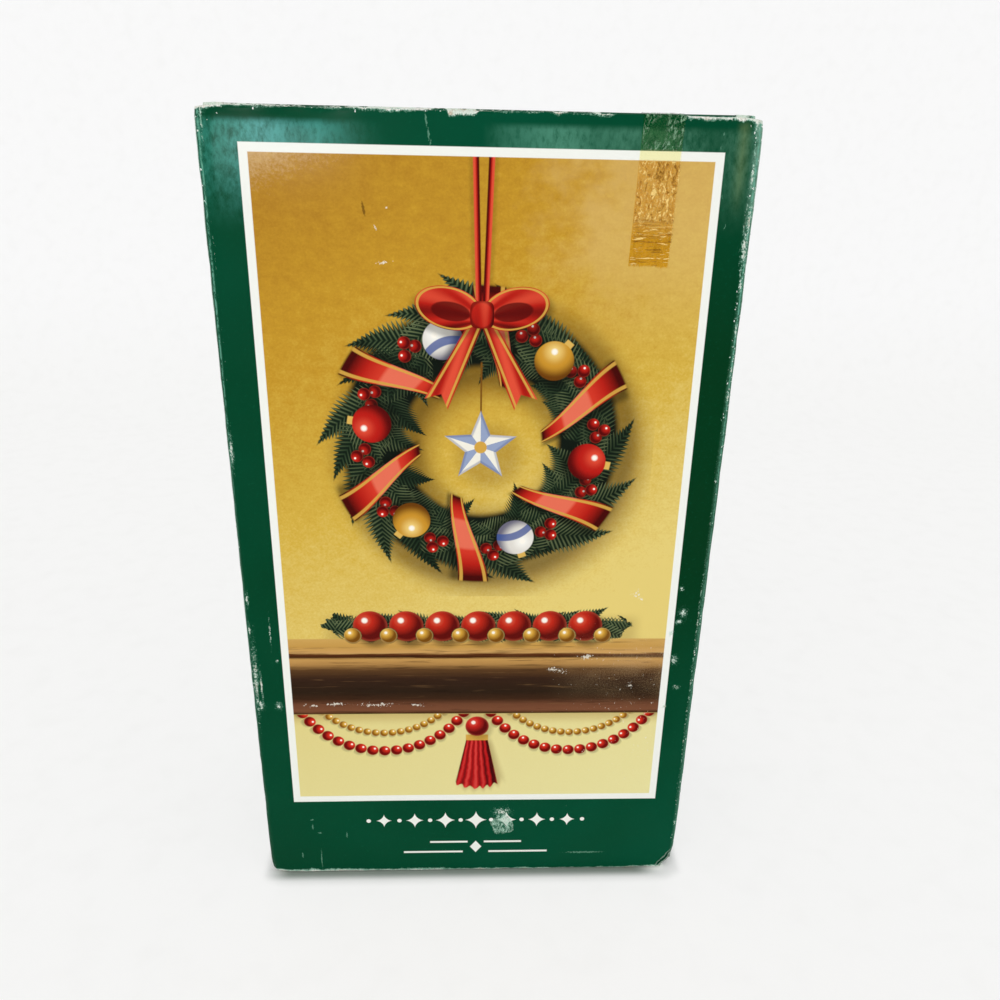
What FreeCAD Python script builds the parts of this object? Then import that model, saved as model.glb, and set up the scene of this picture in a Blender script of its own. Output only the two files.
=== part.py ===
import FreeCAD, Part
import math
import os

import Sketcher

# A printed retail carton of laminated board, glued at one rear corner, closed by a tuck end at
# the top and another at the bottom, with a strip of clear tape over the lid's front edge.
# Millimetres. X is the width, Y runs from the front panel to the back panel, Z is up, and the
# origin is the middle of the base.

doc = FreeCAD.newDocument("printed_carton")

SIZES = (
    ("carton_width", 172.0, "over the two side panels"),
    ("carton_depth", 90.0, "over the front and back panels"),
    ("carton_height", 295.0, "from the base to the top of the lid"),
    ("board_thickness", 1.6, "fluted board with its printed liner"),
    ("fold_radius", 2.5, "outside of a scored fold between two walls"),
    ("lid_fold_radius", 2.2, "outside of the lid's folds, at its hinge and at its tuck flap"),
    ("lid_side_clearance", 0.4, "from the end of a side fold to the lid's cut edge"),
    ("lid_shoulder", 6.0, "square stretch at each end of the lid's tuck fold"),
    ("cut_edge_drop", 0.8, "a wall's cut edge lies this far below the lid"),
    ("tuck_gap", 0.4, "between the tuck flap and the wall that it slides behind"),
    ("tuck_gap_depth", 5.0, "how far down the gap stays open"),
    ("lap_gap", 0.3, "between the side panel's cut edge and the glue lap's fold"),
    ("lap_setback", 0.8, "the side panel's cut edge lies this far inside the back panel"),
    ("lap_seam_depth", 4.2, "depth of the open seam beside the glue lap"),
    ("crush_width", 6.5, "reach of the crushed corner along the front's lower fold"),
    ("crush_depth", 5.0, "its reach along the side's lower fold"),
    ("crush_height", 8.5, "its reach up the vertical fold"),
    ("tape_width", 12.7, "half-inch tape"),
    ("tape_thickness", 0.12, "film and adhesive, with its wrinkles"),
    ("tape_inset", 31.0, "from the right side panel to the middle of the tape, at the top"),
    ("tape_lean", 1.85, "degrees that the strip leans off the upright"),
    ("tape_front_length", 45.0, "down the front panel"),
    ("tape_lid_length", 38.0, "back over the lid"),
    ("tear_pitch", 1.1, "from tooth to tooth of the torn ends"),
    ("tear_depth", 0.7, "from the tip of a tooth to its root"),
)

sheet = doc.addObject("Spreadsheet::Sheet", "Sizes")
for row, (alias, value, meaning) in enumerate(SIZES, start=1):
    sheet.set(f"A{row}", alias)
    sheet.set(f"B{row}", str(value))
    sheet.set(f"C{row}", meaning)
    sheet.setAlias(f"B{row}", alias)
doc.recompute()

# Places that several sections share, as expressions on the sheet's cells.
HALF_WIDTH = "Sizes.carton_width / 2"
HALF_DEPTH = "Sizes.carton_depth / 2"
HALF_HEIGHT = "Sizes.carton_height / 2"
TUCK_WALL = f"-{HALF_DEPTH} + Sizes.board_thickness"
TUCK_FACE = f"{TUCK_WALL} + Sizes.tuck_gap"
LID_HALF_WIDTH = f"{HALF_WIDTH} - Sizes.fold_radius - Sizes.lid_side_clearance"
LAP_WALL = f"-{HALF_WIDTH} + Sizes.board_thickness"
TAPE_MIDDLE = f"{HALF_WIDTH} - Sizes.tape_inset"

# Room that a cutting outline keeps beyond the faces of the board.
BEYOND = 2.0

# A cutting box is this many times as long as what it cuts.
OVERSIZE = 4


def size(expression):
    """The present value of an expression on the sheet's cells."""
    return float(sheet.evalExpression(expression))


def origin_feature(body, role):
    for feature in body.Origin.OriginFeatures:
        if feature.Role == role:
            return feature
    raise LookupError(role)


def new_sketch(body, name, role):
    sketch = body.newObject("Sketcher::SketchObject", name)
    sketch.AttachmentSupport = (origin_feature(body, role), [""])
    sketch.MapMode = "FlatFace"
    return sketch


def bind(sketch, constraint, expression):
    """Adds a dimension and ties it to the sheet."""
    index = sketch.addConstraint(constraint)
    sketch.setExpression(f"Constraints[{index}]", expression)


def draw_square_outline(sketch, lines):
    """Draws a closed outline of lines that lie across and up in turn.

    Each line is (direction, place, rounding): "across" lies at the height that place gives,
    "up" stands at the distance that place gives, and rounding is the radius of the bend at the
    line's end, or None for a sharp corner. Neighbours meet where their places cross.
    """
    places = [size(place) for _, place, _ in lines]
    count = len(lines)

    def corner(index):
        here, after = index % count, (index + 1) % count
        if lines[here][0] == "up":
            return FreeCAD.Vector(places[here], places[after], 0)
        return FreeCAD.Vector(places[after], places[here], 0)

    corners = [corner(index) for index in range(count)]
    edges = []
    for index in range(count):
        start, end = corners[index - 1], corners[index]
        way = (end - start).normalize()
        before, after = lines[index - 1][2], lines[index][2]
        start = start + way * (size(before) if before else 0)
        end = end - way * (size(after) if after else 0)
        edges.append(sketch.addGeometry(Part.LineSegment(start, end), False))

    for index, (direction, place, rounding) in enumerate(lines):
        edge, following = edges[index], edges[(index + 1) % count]
        if direction == "up":
            sketch.addConstraint(Sketcher.Constraint("Vertical", edge))
            bind(sketch, Sketcher.Constraint("DistanceX", -1, 1, edge, 1, places[index]), place)
        else:
            sketch.addConstraint(Sketcher.Constraint("Horizontal", edge))
            bind(sketch, Sketcher.Constraint("DistanceY", -1, 1, edge, 1, places[index]), place)
        if rounding is None:
            sketch.addConstraint(Sketcher.Constraint("Coincident", edge, 2, following, 1))
            continue
        bend, start_end, far_end = add_bend(sketch, edge, following, corners[index], size(rounding))
        sketch.addConstraint(Sketcher.Constraint("Tangent", edge, 2, bend, start_end))
        sketch.addConstraint(Sketcher.Constraint("Tangent", following, 1, bend, far_end))
        bind(sketch, Sketcher.Constraint("Radius", bend, size(rounding)), rounding)


def add_bend(sketch, edge, following, corner, radius):
    """Adds a quarter circle between two lines, and says which of its ends meets each."""
    start = sketch.Geometry[edge].EndPoint
    end = sketch.Geometry[following].StartPoint
    centre = start + end - corner
    first = math.atan2(start.y - centre.y, start.x - centre.x)
    last = math.atan2(end.y - centre.y, end.x - centre.x)
    turns_left = math.sin(last - first) > 0
    if not turns_left:
        first, last = last, first
    circle = Part.Circle(centre, FreeCAD.Vector(0, 0, 1), radius)
    bend = sketch.addGeometry(Part.ArcOfCircle(circle, first, last), False)
    return (bend, 1, 2) if turns_left else (bend, 2, 1)


def cut_through(body, sketch, name, width=None):
    """Cuts a sketch's outline out of the body, right through or to a width about its plane."""
    pocket = body.newObject("PartDesign::Pocket", name)
    pocket.Profile = sketch
    pocket.SideType = "Symmetric"
    if width is None:
        pocket.Type = "ThroughAll"
    else:
        pocket.Type = "Length"
        pocket.setExpression("Length", width)
    doc.recompute()
    return pocket


# The four walls, as the blank is wrapped round and glued: the side panel at the left ends in a
# cut edge behind, and covers the lap that is folded on from the back panel.
def add_walls(body):
    section = new_sketch(body, "wall_section", "XY_Plane")
    draw_square_outline(section, (
        ("across", f"-({HALF_DEPTH})", "Sizes.fold_radius"),
        ("up", HALF_WIDTH, "Sizes.fold_radius"),
        ("across", HALF_DEPTH, "Sizes.fold_radius"),
        ("up", f"{LAP_WALL} + Sizes.lap_gap", None),
        ("across", f"{HALF_DEPTH} - Sizes.lap_seam_depth", None),
        ("up", LAP_WALL, None),
        ("across", f"{HALF_DEPTH} - Sizes.lap_setback", None),
        ("up", f"-({HALF_WIDTH})", "Sizes.fold_radius"),
    ))
    walls = body.newObject("PartDesign::Pad", "walls")
    walls.Profile = section
    walls.SideType = "Symmetric"
    walls.setExpression("Length", "Sizes.carton_height")
    doc.recompute()
    return walls


# One closed end: the lid is hinged on the back panel, rests on the dust flaps that fold in from
# the side panels, and its tuck flap goes down behind the front panel's cut edge.
def cut_closed_end(body):
    edge = new_sketch(body, "front_cut_edge", "YZ_Plane")
    draw_square_outline(edge, (
        ("across", f"{HALF_HEIGHT} - Sizes.cut_edge_drop", None),
        ("up", TUCK_FACE, None),
        ("across", f"{HALF_HEIGHT} + {BEYOND}", None),
        ("up", f"-{HALF_DEPTH} - {BEYOND}", None),
    ))
    cut_edge = cut_through(body, edge, "front_edge_below_lid")

    wrap = new_sketch(body, "lid_wrap", "YZ_Plane")
    draw_square_outline(wrap, (
        ("across", f"{HALF_HEIGHT} - Sizes.tuck_gap_depth", None),
        ("up", TUCK_FACE, "Sizes.lid_fold_radius"),
        ("across", HALF_HEIGHT, "Sizes.lid_fold_radius"),
        ("up", HALF_DEPTH, None),
        ("across", f"{HALF_HEIGHT} - Sizes.lid_fold_radius - {BEYOND}", None),
        ("up", f"{HALF_DEPTH} + {BEYOND}", None),
        ("across", f"{HALF_HEIGHT} + {BEYOND}", None),
        ("up", TUCK_WALL, None),
    ))
    folds = cut_through(body, wrap, "lid_folds", f"2 * ({LID_HALF_WIDTH} - Sizes.lid_shoulder)")

    hinge = new_sketch(body, "hinge_ends", "YZ_Plane")
    draw_square_outline(hinge, (
        ("across", HALF_HEIGHT, "Sizes.lid_fold_radius"),
        ("up", HALF_DEPTH, None),
        ("across", f"{HALF_HEIGHT} - Sizes.lid_fold_radius - {BEYOND}", None),
        ("up", f"{HALF_DEPTH} + {BEYOND}", None),
        ("across", f"{HALF_HEIGHT} + {BEYOND}", None),
        ("up", f"{HALF_DEPTH} - Sizes.lid_fold_radius - {BEYOND}", None),
    ))
    hinge_fold = cut_through(body, hinge, "hinge_fold")

    shape = new_sketch(body, "lid_and_dust_flaps", "XZ_Plane")
    dust_flap_top = f"{HALF_HEIGHT} - Sizes.board_thickness"
    for side in (1, -1):
        lid_edge = f"{side} * ({LID_HALF_WIDTH})"
        wall = f"{side} * ({HALF_WIDTH})"
        draw_square_outline(shape, (
            ("across", dust_flap_top, "Sizes.fold_radius"),
            ("up", wall, None),
            ("across", f"{dust_flap_top} - Sizes.fold_radius - {BEYOND}", None),
            ("up", f"{side} * ({HALF_WIDTH} + {BEYOND})", None),
            ("across", f"{HALF_HEIGHT} + {BEYOND}", None),
            ("up", lid_edge, None),
        ))
    sides = body.newObject("PartDesign::Pocket", "side_folds_below_lid")
    sides.Profile = shape
    sides.SideType = "Two sides"
    sides.setExpression("Length", f"{HALF_DEPTH} + {BEYOND}")
    sides.setExpression("Length2", f"{HALF_DEPTH} - Sizes.board_thickness")
    doc.recompute()
    return [cut_edge, folds, hinge_fold, sides]


# The base is closed as the lid is, turned end for end: hinged on the front, tucked in behind.
def repeat_at_base(body, features):
    turned = body.newObject("PartDesign::PolarPattern", "both_ends")
    turned.Originals = features
    turned.Axis = (origin_feature(body, "X_Axis"), [""])
    turned.Angle = 360
    turned.Occurrences = 2
    body.Tip = turned
    doc.recompute()
    return turned


# The lower front corner at the right was knocked in and is left as a slanting facet.
def crush_corner(body):
    corner = FreeCAD.Vector(size(HALF_WIDTH), -size(HALF_DEPTH), -size(HALF_HEIGHT))
    reach = [size(f"Sizes.crush_{way}") for way in ("width", "depth", "height")]
    outward = FreeCAD.Vector(1 / reach[0], -1 / reach[1], -1 / reach[2])
    turn = FreeCAD.Rotation(FreeCAD.Vector(0, 0, 1), outward)
    facet = body.newObject("PartDesign::SubtractiveBox", "crushed_corner")
    longest = "max(Sizes.crush_width; Sizes.crush_depth; Sizes.crush_height)"
    for side in ("Length", "Width", "Height"):
        facet.setExpression(side, f"{OVERSIZE} * {longest}")
    doc.recompute()
    on_plane = corner - FreeCAD.Vector(reach[0], 0, 0)
    to_middle = turn.multVec(FreeCAD.Vector(facet.Length.Value / 2, facet.Width.Value / 2, 0))
    facet.Placement = FreeCAD.Placement(on_plane - to_middle, turn)
    doc.recompute()
    return facet


def make_carton():
    body = doc.addObject("PartDesign::Body", "carton")
    body.Label = "carton"
    add_walls(body)
    repeat_at_base(body, cut_closed_end(body))
    crush_corner(body)
    body.setExpression("Placement.Base.z", HALF_HEIGHT)
    doc.recompute()
    return body


# Where the tape may first touch the lid's fold, past its crest. The solver finds the true place.
FIRST_TOUCH = math.radians(12)


# The tape's adhesive side: up the front panel, over its cut edge, on to the lid's fold where it
# meets that as a tangent, and back over the lid.
def draw_tape_path():
    path = doc.addObject("Sketcher::SketchObject", "tape_path")
    upright = FreeCAD.Rotation(FreeCAD.Vector(1, 1, 1), 120)
    path.Placement = FreeCAD.Placement(FreeCAD.Vector(0, 0, 0), upright)
    path.setExpression("Placement.Base.x", TAPE_MIDDLE)
    front = -size(HALF_DEPTH)
    top = size("Sizes.carton_height")
    radius = size("Sizes.lid_fold_radius")
    edge = FreeCAD.Vector(front, top - size("Sizes.cut_edge_drop"), 0)
    centre = FreeCAD.Vector(size(TUCK_FACE) + radius, top - radius, 0)
    foot = FreeCAD.Vector(front, top - size("Sizes.tape_front_length"), 0)
    tail = FreeCAD.Vector(front + size("Sizes.tape_lid_length"), top, 0)
    touch_way = FreeCAD.Vector(-math.sin(FIRST_TOUCH), math.cos(FIRST_TOUCH), 0)
    touch = centre + touch_way * radius
    crest = centre + FreeCAD.Vector(0, radius, 0)

    up_front = path.addGeometry(Part.LineSegment(foot, edge), False)
    bridge = path.addGeometry(Part.LineSegment(edge, touch), False)
    circle = Part.Circle(centre, FreeCAD.Vector(0, 0, 1), radius)
    fold = path.addGeometry(Part.ArcOfCircle(circle, math.pi / 2, math.pi / 2 + FIRST_TOUCH), False)
    over_lid = path.addGeometry(Part.LineSegment(crest, tail), False)
    path.addConstraint([
        Sketcher.Constraint("Vertical", up_front),
        Sketcher.Constraint("Horizontal", over_lid),
        Sketcher.Constraint("Coincident", up_front, 2, bridge, 1),
        Sketcher.Constraint("Tangent", bridge, 2, fold, 2),
        Sketcher.Constraint("Tangent", over_lid, 1, fold, 1),
    ])
    bind(path, Sketcher.Constraint("DistanceX", -1, 1, up_front, 1, front), f"-({HALF_DEPTH})")
    bind(path, Sketcher.Constraint("DistanceY", -1, 1, up_front, 1, foot.y),
         "Sizes.carton_height - Sizes.tape_front_length")
    bind(path, Sketcher.Constraint("DistanceY", -1, 1, up_front, 2, edge.y),
         "Sizes.carton_height - Sizes.cut_edge_drop")
    bind(path, Sketcher.Constraint("Radius", fold, radius), "Sizes.lid_fold_radius")
    bind(path, Sketcher.Constraint("DistanceX", -1, 1, fold, 3, centre.x),
         f"{TUCK_FACE} + Sizes.lid_fold_radius")
    bind(path, Sketcher.Constraint("DistanceY", -1, 1, over_lid, 1, top), "Sizes.carton_height")
    bind(path, Sketcher.Constraint("DistanceX", -1, 1, over_lid, 2, tail.x),
         f"-{HALF_DEPTH} + Sizes.tape_lid_length")
    doc.recompute()
    return path


# The strip's two long edges are parallel planes that lean alike on the front and on the lid, so
# that it stays one straight strip when it is laid flat.
def make_tape_trim():
    lean = math.tan(math.radians(size("Sizes.tape_lean")))
    along = FreeCAD.Rotation(FreeCAD.Vector(1, 0, 0), FreeCAD.Vector(1, -lean, -lean))
    trim = doc.addObject("Part::Box", "tape_trim")
    trim.setExpression("Length", "Sizes.tape_width")
    strip_length = "(Sizes.tape_front_length + Sizes.tape_lid_length)"
    for side in ("Width", "Height"):
        trim.setExpression(side, f"{OVERSIZE} * {strip_length}")
    doc.recompute()
    top_edge = FreeCAD.Vector(size(TAPE_MIDDLE), -size(HALF_DEPTH), size("Sizes.carton_height"))
    half = FreeCAD.Vector(trim.Length.Value / 2, trim.Width.Value / 2, trim.Height.Value / 2)
    trim.Placement = FreeCAD.Placement(top_edge - along.multVec(half), along)
    return trim


# A torn end is a row of teeth, as the dispenser's blade leaves it.
def make_torn_end(name, end, strip_way, thickness_way):
    """The waste beyond a torn end: end is its middle, strip_way points off the strip."""
    pitch = size("Sizes.tear_pitch")
    depth = size("Sizes.tear_depth")
    teeth = math.ceil(size("Sizes.tape_width") / pitch) + 2
    across = strip_way.cross(thickness_way)
    first = end - across * (teeth * pitch / 2)
    nodes = []
    for tooth in range(teeth):
        nodes.append(first + across * (tooth * pitch))
        nodes.append(first + across * ((tooth + 0.5) * pitch) - strip_way * depth)
    nodes.append(first + across * (teeth * pitch))
    nodes.append(nodes[-1] + strip_way * (depth + BEYOND))
    nodes.append(first + strip_way * (depth + BEYOND))
    outline = doc.addObject("Part::Polygon", f"{name}_outline")
    outline.Nodes = nodes
    outline.Close = True
    waste = doc.addObject("Part::Extrusion", name)
    waste.Base = outline
    waste.DirMode = "Custom"
    waste.Dir = thickness_way
    waste.Solid = True
    waste.Symmetric = True
    waste.LengthFwd = 2 * BEYOND
    return waste


def make_tape():
    profile = doc.addObject("Part::Offset2D", "tape_profile")
    profile.Source = draw_tape_path()
    profile.Fill = True
    profile.Mode = "Skin"
    profile.setExpression("Value", "-Sizes.tape_thickness")
    film = doc.addObject("Part::Extrusion", "tape_film")
    film.Base = profile
    film.DirMode = "Custom"
    film.Dir = FreeCAD.Vector(1, 0, 0)
    film.Solid = True
    film.Symmetric = True
    film.setExpression("LengthFwd", f"{OVERSIZE} * Sizes.tape_width")
    strip = doc.addObject("Part::Common", "tape_strip")
    strip.Base = film
    strip.Tool = make_tape_trim()

    lean = math.tan(math.radians(size("Sizes.tape_lean")))
    front = -size(HALF_DEPTH)
    top = size("Sizes.carton_height")
    down = size("Sizes.tape_front_length")
    back = size("Sizes.tape_lid_length")
    middle = size(TAPE_MIDDLE)
    lower_end = FreeCAD.Vector(middle - lean * down, front, top - down)
    rear_end = FreeCAD.Vector(middle + lean * back, front + back, top)
    waste = doc.addObject("Part::MultiFuse", "torn_ends")
    waste.Shapes = [
        make_torn_end("torn_lower_end", lower_end, FreeCAD.Vector(-lean, 0, -1).normalize(),
                      FreeCAD.Vector(0, -1, 0)),
        make_torn_end("torn_rear_end", rear_end, FreeCAD.Vector(lean, 1, 0).normalize(),
                      FreeCAD.Vector(0, 0, 1)),
    ]
    tape = doc.addObject("Part::Cut", "seal_tape")
    tape.Label = "seal_tape"
    tape.Base = strip
    tape.Tool = waste
    doc.recompute()
    return tape


sub_parts = [make_carton(), make_tape()]
doc.recompute()

for item in doc.Objects:
    if "Invalid" in item.State or "Error" in item.State:
        raise RuntimeError(f"{item.Name} failed: {item.State}")
for sub_part in sub_parts:
    if sub_part.Shape.isNull() or not sub_part.Shape.isValid():
        raise RuntimeError(f"{sub_part.Label} has no valid shape")

os.makedirs("parts", exist_ok=True)
for sub_part in sub_parts:
    sub_part.Shape.exportStep(f"parts/{sub_part.Label}.step")
    box = sub_part.Shape.BoundBox
    print(f"{sub_part.Label}: {len(sub_part.Shape.Solids)} solid, {sub_part.Shape.Volume:.1f} mm3, "
          f"{box.XLength:.2f} x {box.YLength:.2f} x {box.ZLength:.2f} mm")
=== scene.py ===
import math

import bmesh
import bpy
from mathutils import Matrix, Vector, noise


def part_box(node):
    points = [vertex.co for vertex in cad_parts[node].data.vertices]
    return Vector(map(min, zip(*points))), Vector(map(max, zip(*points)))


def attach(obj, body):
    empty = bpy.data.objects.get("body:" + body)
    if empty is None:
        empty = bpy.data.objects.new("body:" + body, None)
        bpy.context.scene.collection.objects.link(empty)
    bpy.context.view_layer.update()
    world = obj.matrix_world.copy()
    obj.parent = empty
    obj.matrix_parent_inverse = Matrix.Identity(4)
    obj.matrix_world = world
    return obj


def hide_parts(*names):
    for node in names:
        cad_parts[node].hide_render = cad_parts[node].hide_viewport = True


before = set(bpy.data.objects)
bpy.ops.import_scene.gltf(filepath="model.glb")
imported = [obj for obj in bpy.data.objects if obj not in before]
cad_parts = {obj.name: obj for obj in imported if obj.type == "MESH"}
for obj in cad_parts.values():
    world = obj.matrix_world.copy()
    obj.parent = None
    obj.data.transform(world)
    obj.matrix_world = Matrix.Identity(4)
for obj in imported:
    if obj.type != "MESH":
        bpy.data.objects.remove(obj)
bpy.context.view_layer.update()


# The carton: one blank of thin fluted board with a white liner, printed, varnished, folded and
# glued along its left rear corner, with tuck-in ends. Handling has bowed its panels, dented its
# folds and worn the varnished print off them, down to the white liner and the beige core.
MM = 0.001
carton_low, carton_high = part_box("carton")
HALF_WIDTH = carton_high.x / MM
HALF_DEPTH = carton_high.y / MM
HEIGHT = carton_high.z / MM
PANEL_CELL = 4.0
FOLD_CELL = 0.8
FOLD_BAND = 7.0
BOW = 0.35
TOP_SAG = 0.5
FOLD_NIBBLE = 0.9
CORNER_NIBBLE = 1.3
FOOT_PINCH = 0.8
FOLD_REACH = 2.6

PICTURE = (0.5, 161.0)
PICTURE_HALF = (71.1, 120.5)
PICTURE_TOP = PICTURE[1] + PICTURE_HALF[1]
FRAME_LINE = 2.7
WREATH = (0.5, 190.5)
WREATH_REACH = 60.0
SHELF_TOP = 113.5
SHELF_REACH = 18.0


def cut_places(start, end, fine, coarse, band, always=()):
    """Places of the cuts across a panel: closer together beside its folds, and at given places."""
    places = list(always)
    place = start + 0.37
    while place < end:
        places.append(place)
        place += fine if min(place - start, end - place) < band else coarse
    return places


def cut_into_cells(mesh, cuts):
    """Cuts a copied CAD mesh into small faces that can bend, at the places given for each axis."""
    for axis, places in enumerate(cuts):
        across = Vector([float(axis == side) for side in range(3)])
        for place in places:
            everything = mesh.verts[:] + mesh.edges[:] + mesh.faces[:]
            bmesh.ops.bisect_plane(
                mesh, geom=everything, dist=1e-7, plane_co=across * place * MM, plane_no=across
            )


def copy_of_node(name):
    """A merged copy of a CAD node's mesh, its flat faces joined."""
    copy = bmesh.new()
    copy.from_mesh(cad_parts[name].data)
    bmesh.ops.remove_doubles(copy, verts=copy.verts, dist=1e-6)
    bmesh.ops.dissolve_limit(
        copy, angle_limit=math.radians(0.4), verts=copy.verts, edges=copy.edges
    )
    return copy


def in_scene(name, data):
    """A new object of the scene, with its mesh, lamp or camera data."""
    made = bpy.data.objects.new(name, data)
    bpy.context.scene.collection.objects.link(made)
    return made


def finished_piece(name, shape):
    """An object of the scene made of a finished shape."""
    mesh = bpy.data.meshes.new(name)
    shape.to_mesh(mesh)
    shape.free()
    return in_scene(name, mesh)


def patchy(x, y, z, size, seed):
    """Smooth chance between 0 and 1, with patches of about the size given in mm."""
    return 0.5 + 0.5 * noise.noise(Vector((x, y, z)) / size + Vector((seed, 2 * seed, 3 * seed)))


def worn_place(point):
    """Where a point of the board has moved to, in mm: panels bow, the lid sags and folds dent."""
    x, y, z = point
    inside_x = 1 - min(1, abs(x) / HALF_WIDTH) ** 6
    inside_y = 1 - min(1, abs(y) / HALF_DEPTH) ** 6
    inside_z = 1 - min(1, abs(2 * z / HEIGHT - 1)) ** 8
    bow_y = BOW * patchy(x, 0, z, 60, 3) * inside_x * inside_z * (abs(y) / HALF_DEPTH) ** 4
    bow_x = BOW * patchy(0, y, z, 50, 5) * inside_y * inside_z * (abs(x) / HALF_WIDTH) ** 4
    bow_x *= 1 if x < 0 else 0.3
    sag = TOP_SAG * patchy(x, y, 0, 40, 7) * inside_x * inside_y * (z / HEIGHT) ** 12
    pinch = FOOT_PINCH * (1 - z / HEIGHT) ** (4 if x < 0 else 1.3) * abs(x) / HALF_WIDTH
    from_side = HALF_WIDTH - abs(x)
    from_front = HALF_DEPTH - abs(y)
    from_end = min(HEIGHT - z, z)
    dent = max(0.0, patchy(x, y, z, 11, 11) - 0.42)
    for dent_size, seed, share in ((2.6, 13, 0.7), (1.1, 17, 0.8)):
        dent += share * max(0.0, patchy(x, y, z, dent_size, seed) - 0.5)
    upright = dent * FOLD_NIBBLE * max(0.0, 1 - (from_side + from_front) / 5) ** 1.5
    lip = dent * FOLD_NIBBLE * max(0.0, 1 - (from_end + from_front) / 5) ** 1.5
    corner = CORNER_NIBBLE * max(0.0, 1 - (from_side + from_front + from_end) / 10) ** 2
    crush = Vector((x, 0.7 * y, z)) - Vector((HALF_WIDTH, -0.7 * HALF_DEPTH, 3))
    crumple = 2.6 * patchy(x + z, y, 0, 3.2, 19) * max(0.0, 1 - crush.length / 14) ** 1.3
    x -= math.copysign(bow_x + upright + pinch + 0.6 * corner + crumple, x)
    y -= math.copysign(bow_y + upright + 0.5 * lip + 0.6 * corner, y)
    z -= math.copysign(lip + 0.8 * corner, z - HEIGHT / 2) + sag
    return Vector((x, y, z))


# The sheet that the print is baked to: where each side's lower left corner lies on it, and which of
# the carton's axes run across and up. The front panel has most of the sheet.
SHEET_PLACES = {
    "front": (0.004, 0.008, 0, 2), "back": (0.585, 0.004, 0, 2), "left": (0.85, 0.004, 1, 2),
    "right": (0.585, 0.46, 1, 2), "top": (0.725, 0.46, 1, 0), "base": (0.865, 0.46, 1, 0),
    "inside": (0.725, 0.73, 1, 0),
}
FRONT_SHARE = 1 / 300
OTHER_SHARE = 0.0015


def sheet_place(point, side):
    """Where a point of the board, in mm, lies on the sheet."""
    start_across, start_up, across, up = SHEET_PLACES[side]
    share = FRONT_SHARE if side == "front" else OTHER_SHARE
    low = (-HALF_WIDTH, -HALF_DEPTH, 0)
    shift_across, shift_up = point[across] - low[across], point[up] - low[up]
    return start_across + shift_across * share, start_up + shift_up * share


def side_of(face):
    """Which panel a face of the board belongs to."""
    centre = face.calc_center_median() / MM
    push = face.normal
    sizes = [abs(push.x), abs(push.y), abs(push.z)]
    axis = sizes.index(max(sizes))
    reach = (HALF_WIDTH, HALF_DEPTH, HEIGHT / 2)[axis]
    place = (centre.x, centre.y, centre.z - HEIGHT / 2)[axis]
    if math.copysign(1, push[axis]) * place < reach - 3:
        return "inside"
    names = (("left", "right"), ("front", "back"), ("base", "top"))[axis]
    return names[push[axis] > 0]


def print_of(face, side):
    """Which print a face carries: 0 is the plain board, 1 to 3 are the picture's three fields."""
    centre = face.calc_center_median() / MM
    from_middle = (abs(centre.x - PICTURE[0]), abs(centre.z - PICTURE[1]))
    line = FRAME_LINE / 2
    if side != "front" or from_middle[0] > PICTURE_HALF[0] + line:
        return 0
    if from_middle[1] > PICTURE_HALF[1] + line:
        return 0
    if centre.z < SHELF_TOP + SHELF_REACH:
        return 3
    if abs(centre.x - WREATH[0]) < WREATH_REACH and abs(centre.z - WREATH[1]) < WREATH_REACH:
        return 2
    return 1


frame_x = PICTURE_HALF[0] + FRAME_LINE / 2
frame_z = PICTURE_HALF[1] + FRAME_LINE / 2
field_x = (
    PICTURE[0] - frame_x, PICTURE[0] + frame_x, WREATH[0] - WREATH_REACH, WREATH[0] + WREATH_REACH
)
field_z = (
    PICTURE[1] - frame_z, PICTURE[1] + frame_z, WREATH[1] + WREATH_REACH, SHELF_TOP + SHELF_REACH
)
board = copy_of_node("carton")
cut_into_cells(board, (
    cut_places(-HALF_WIDTH, HALF_WIDTH, FOLD_CELL, PANEL_CELL, FOLD_BAND, field_x),
    cut_places(-HALF_DEPTH, HALF_DEPTH, FOLD_CELL, PANEL_CELL, FOLD_BAND),
    cut_places(0, HEIGHT, FOLD_CELL, PANEL_CELL, FOLD_BAND, field_z),
))
bake_sheet = board.loops.layers.uv.new("OFBake")
for face in board.faces:
    side = side_of(face)
    face.smooth = True
    face.material_index = print_of(face, side)
    for loop in face.loops:
        loop[bake_sheet].uv = sheet_place(loop.vert.co / MM, side)
for vertex in board.verts:
    vertex.co = worn_place(vertex.co / MM) * MM
for edge in board.edges:
    edge.smooth = edge.calc_face_angle(0.0) < math.radians(32)
carton = finished_piece("printed_carton", board)
board_mesh = carton.data


def ink(colour):
    """A colour given as it looks on a screen, from 0 to 255, as the light that a shader needs."""
    shares = [part / 255 for part in colour]
    return (*[s / 12.92 if s < 0.04045 else ((s + 0.055) / 1.055) ** 2.4 for s in shares], 1)


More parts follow.
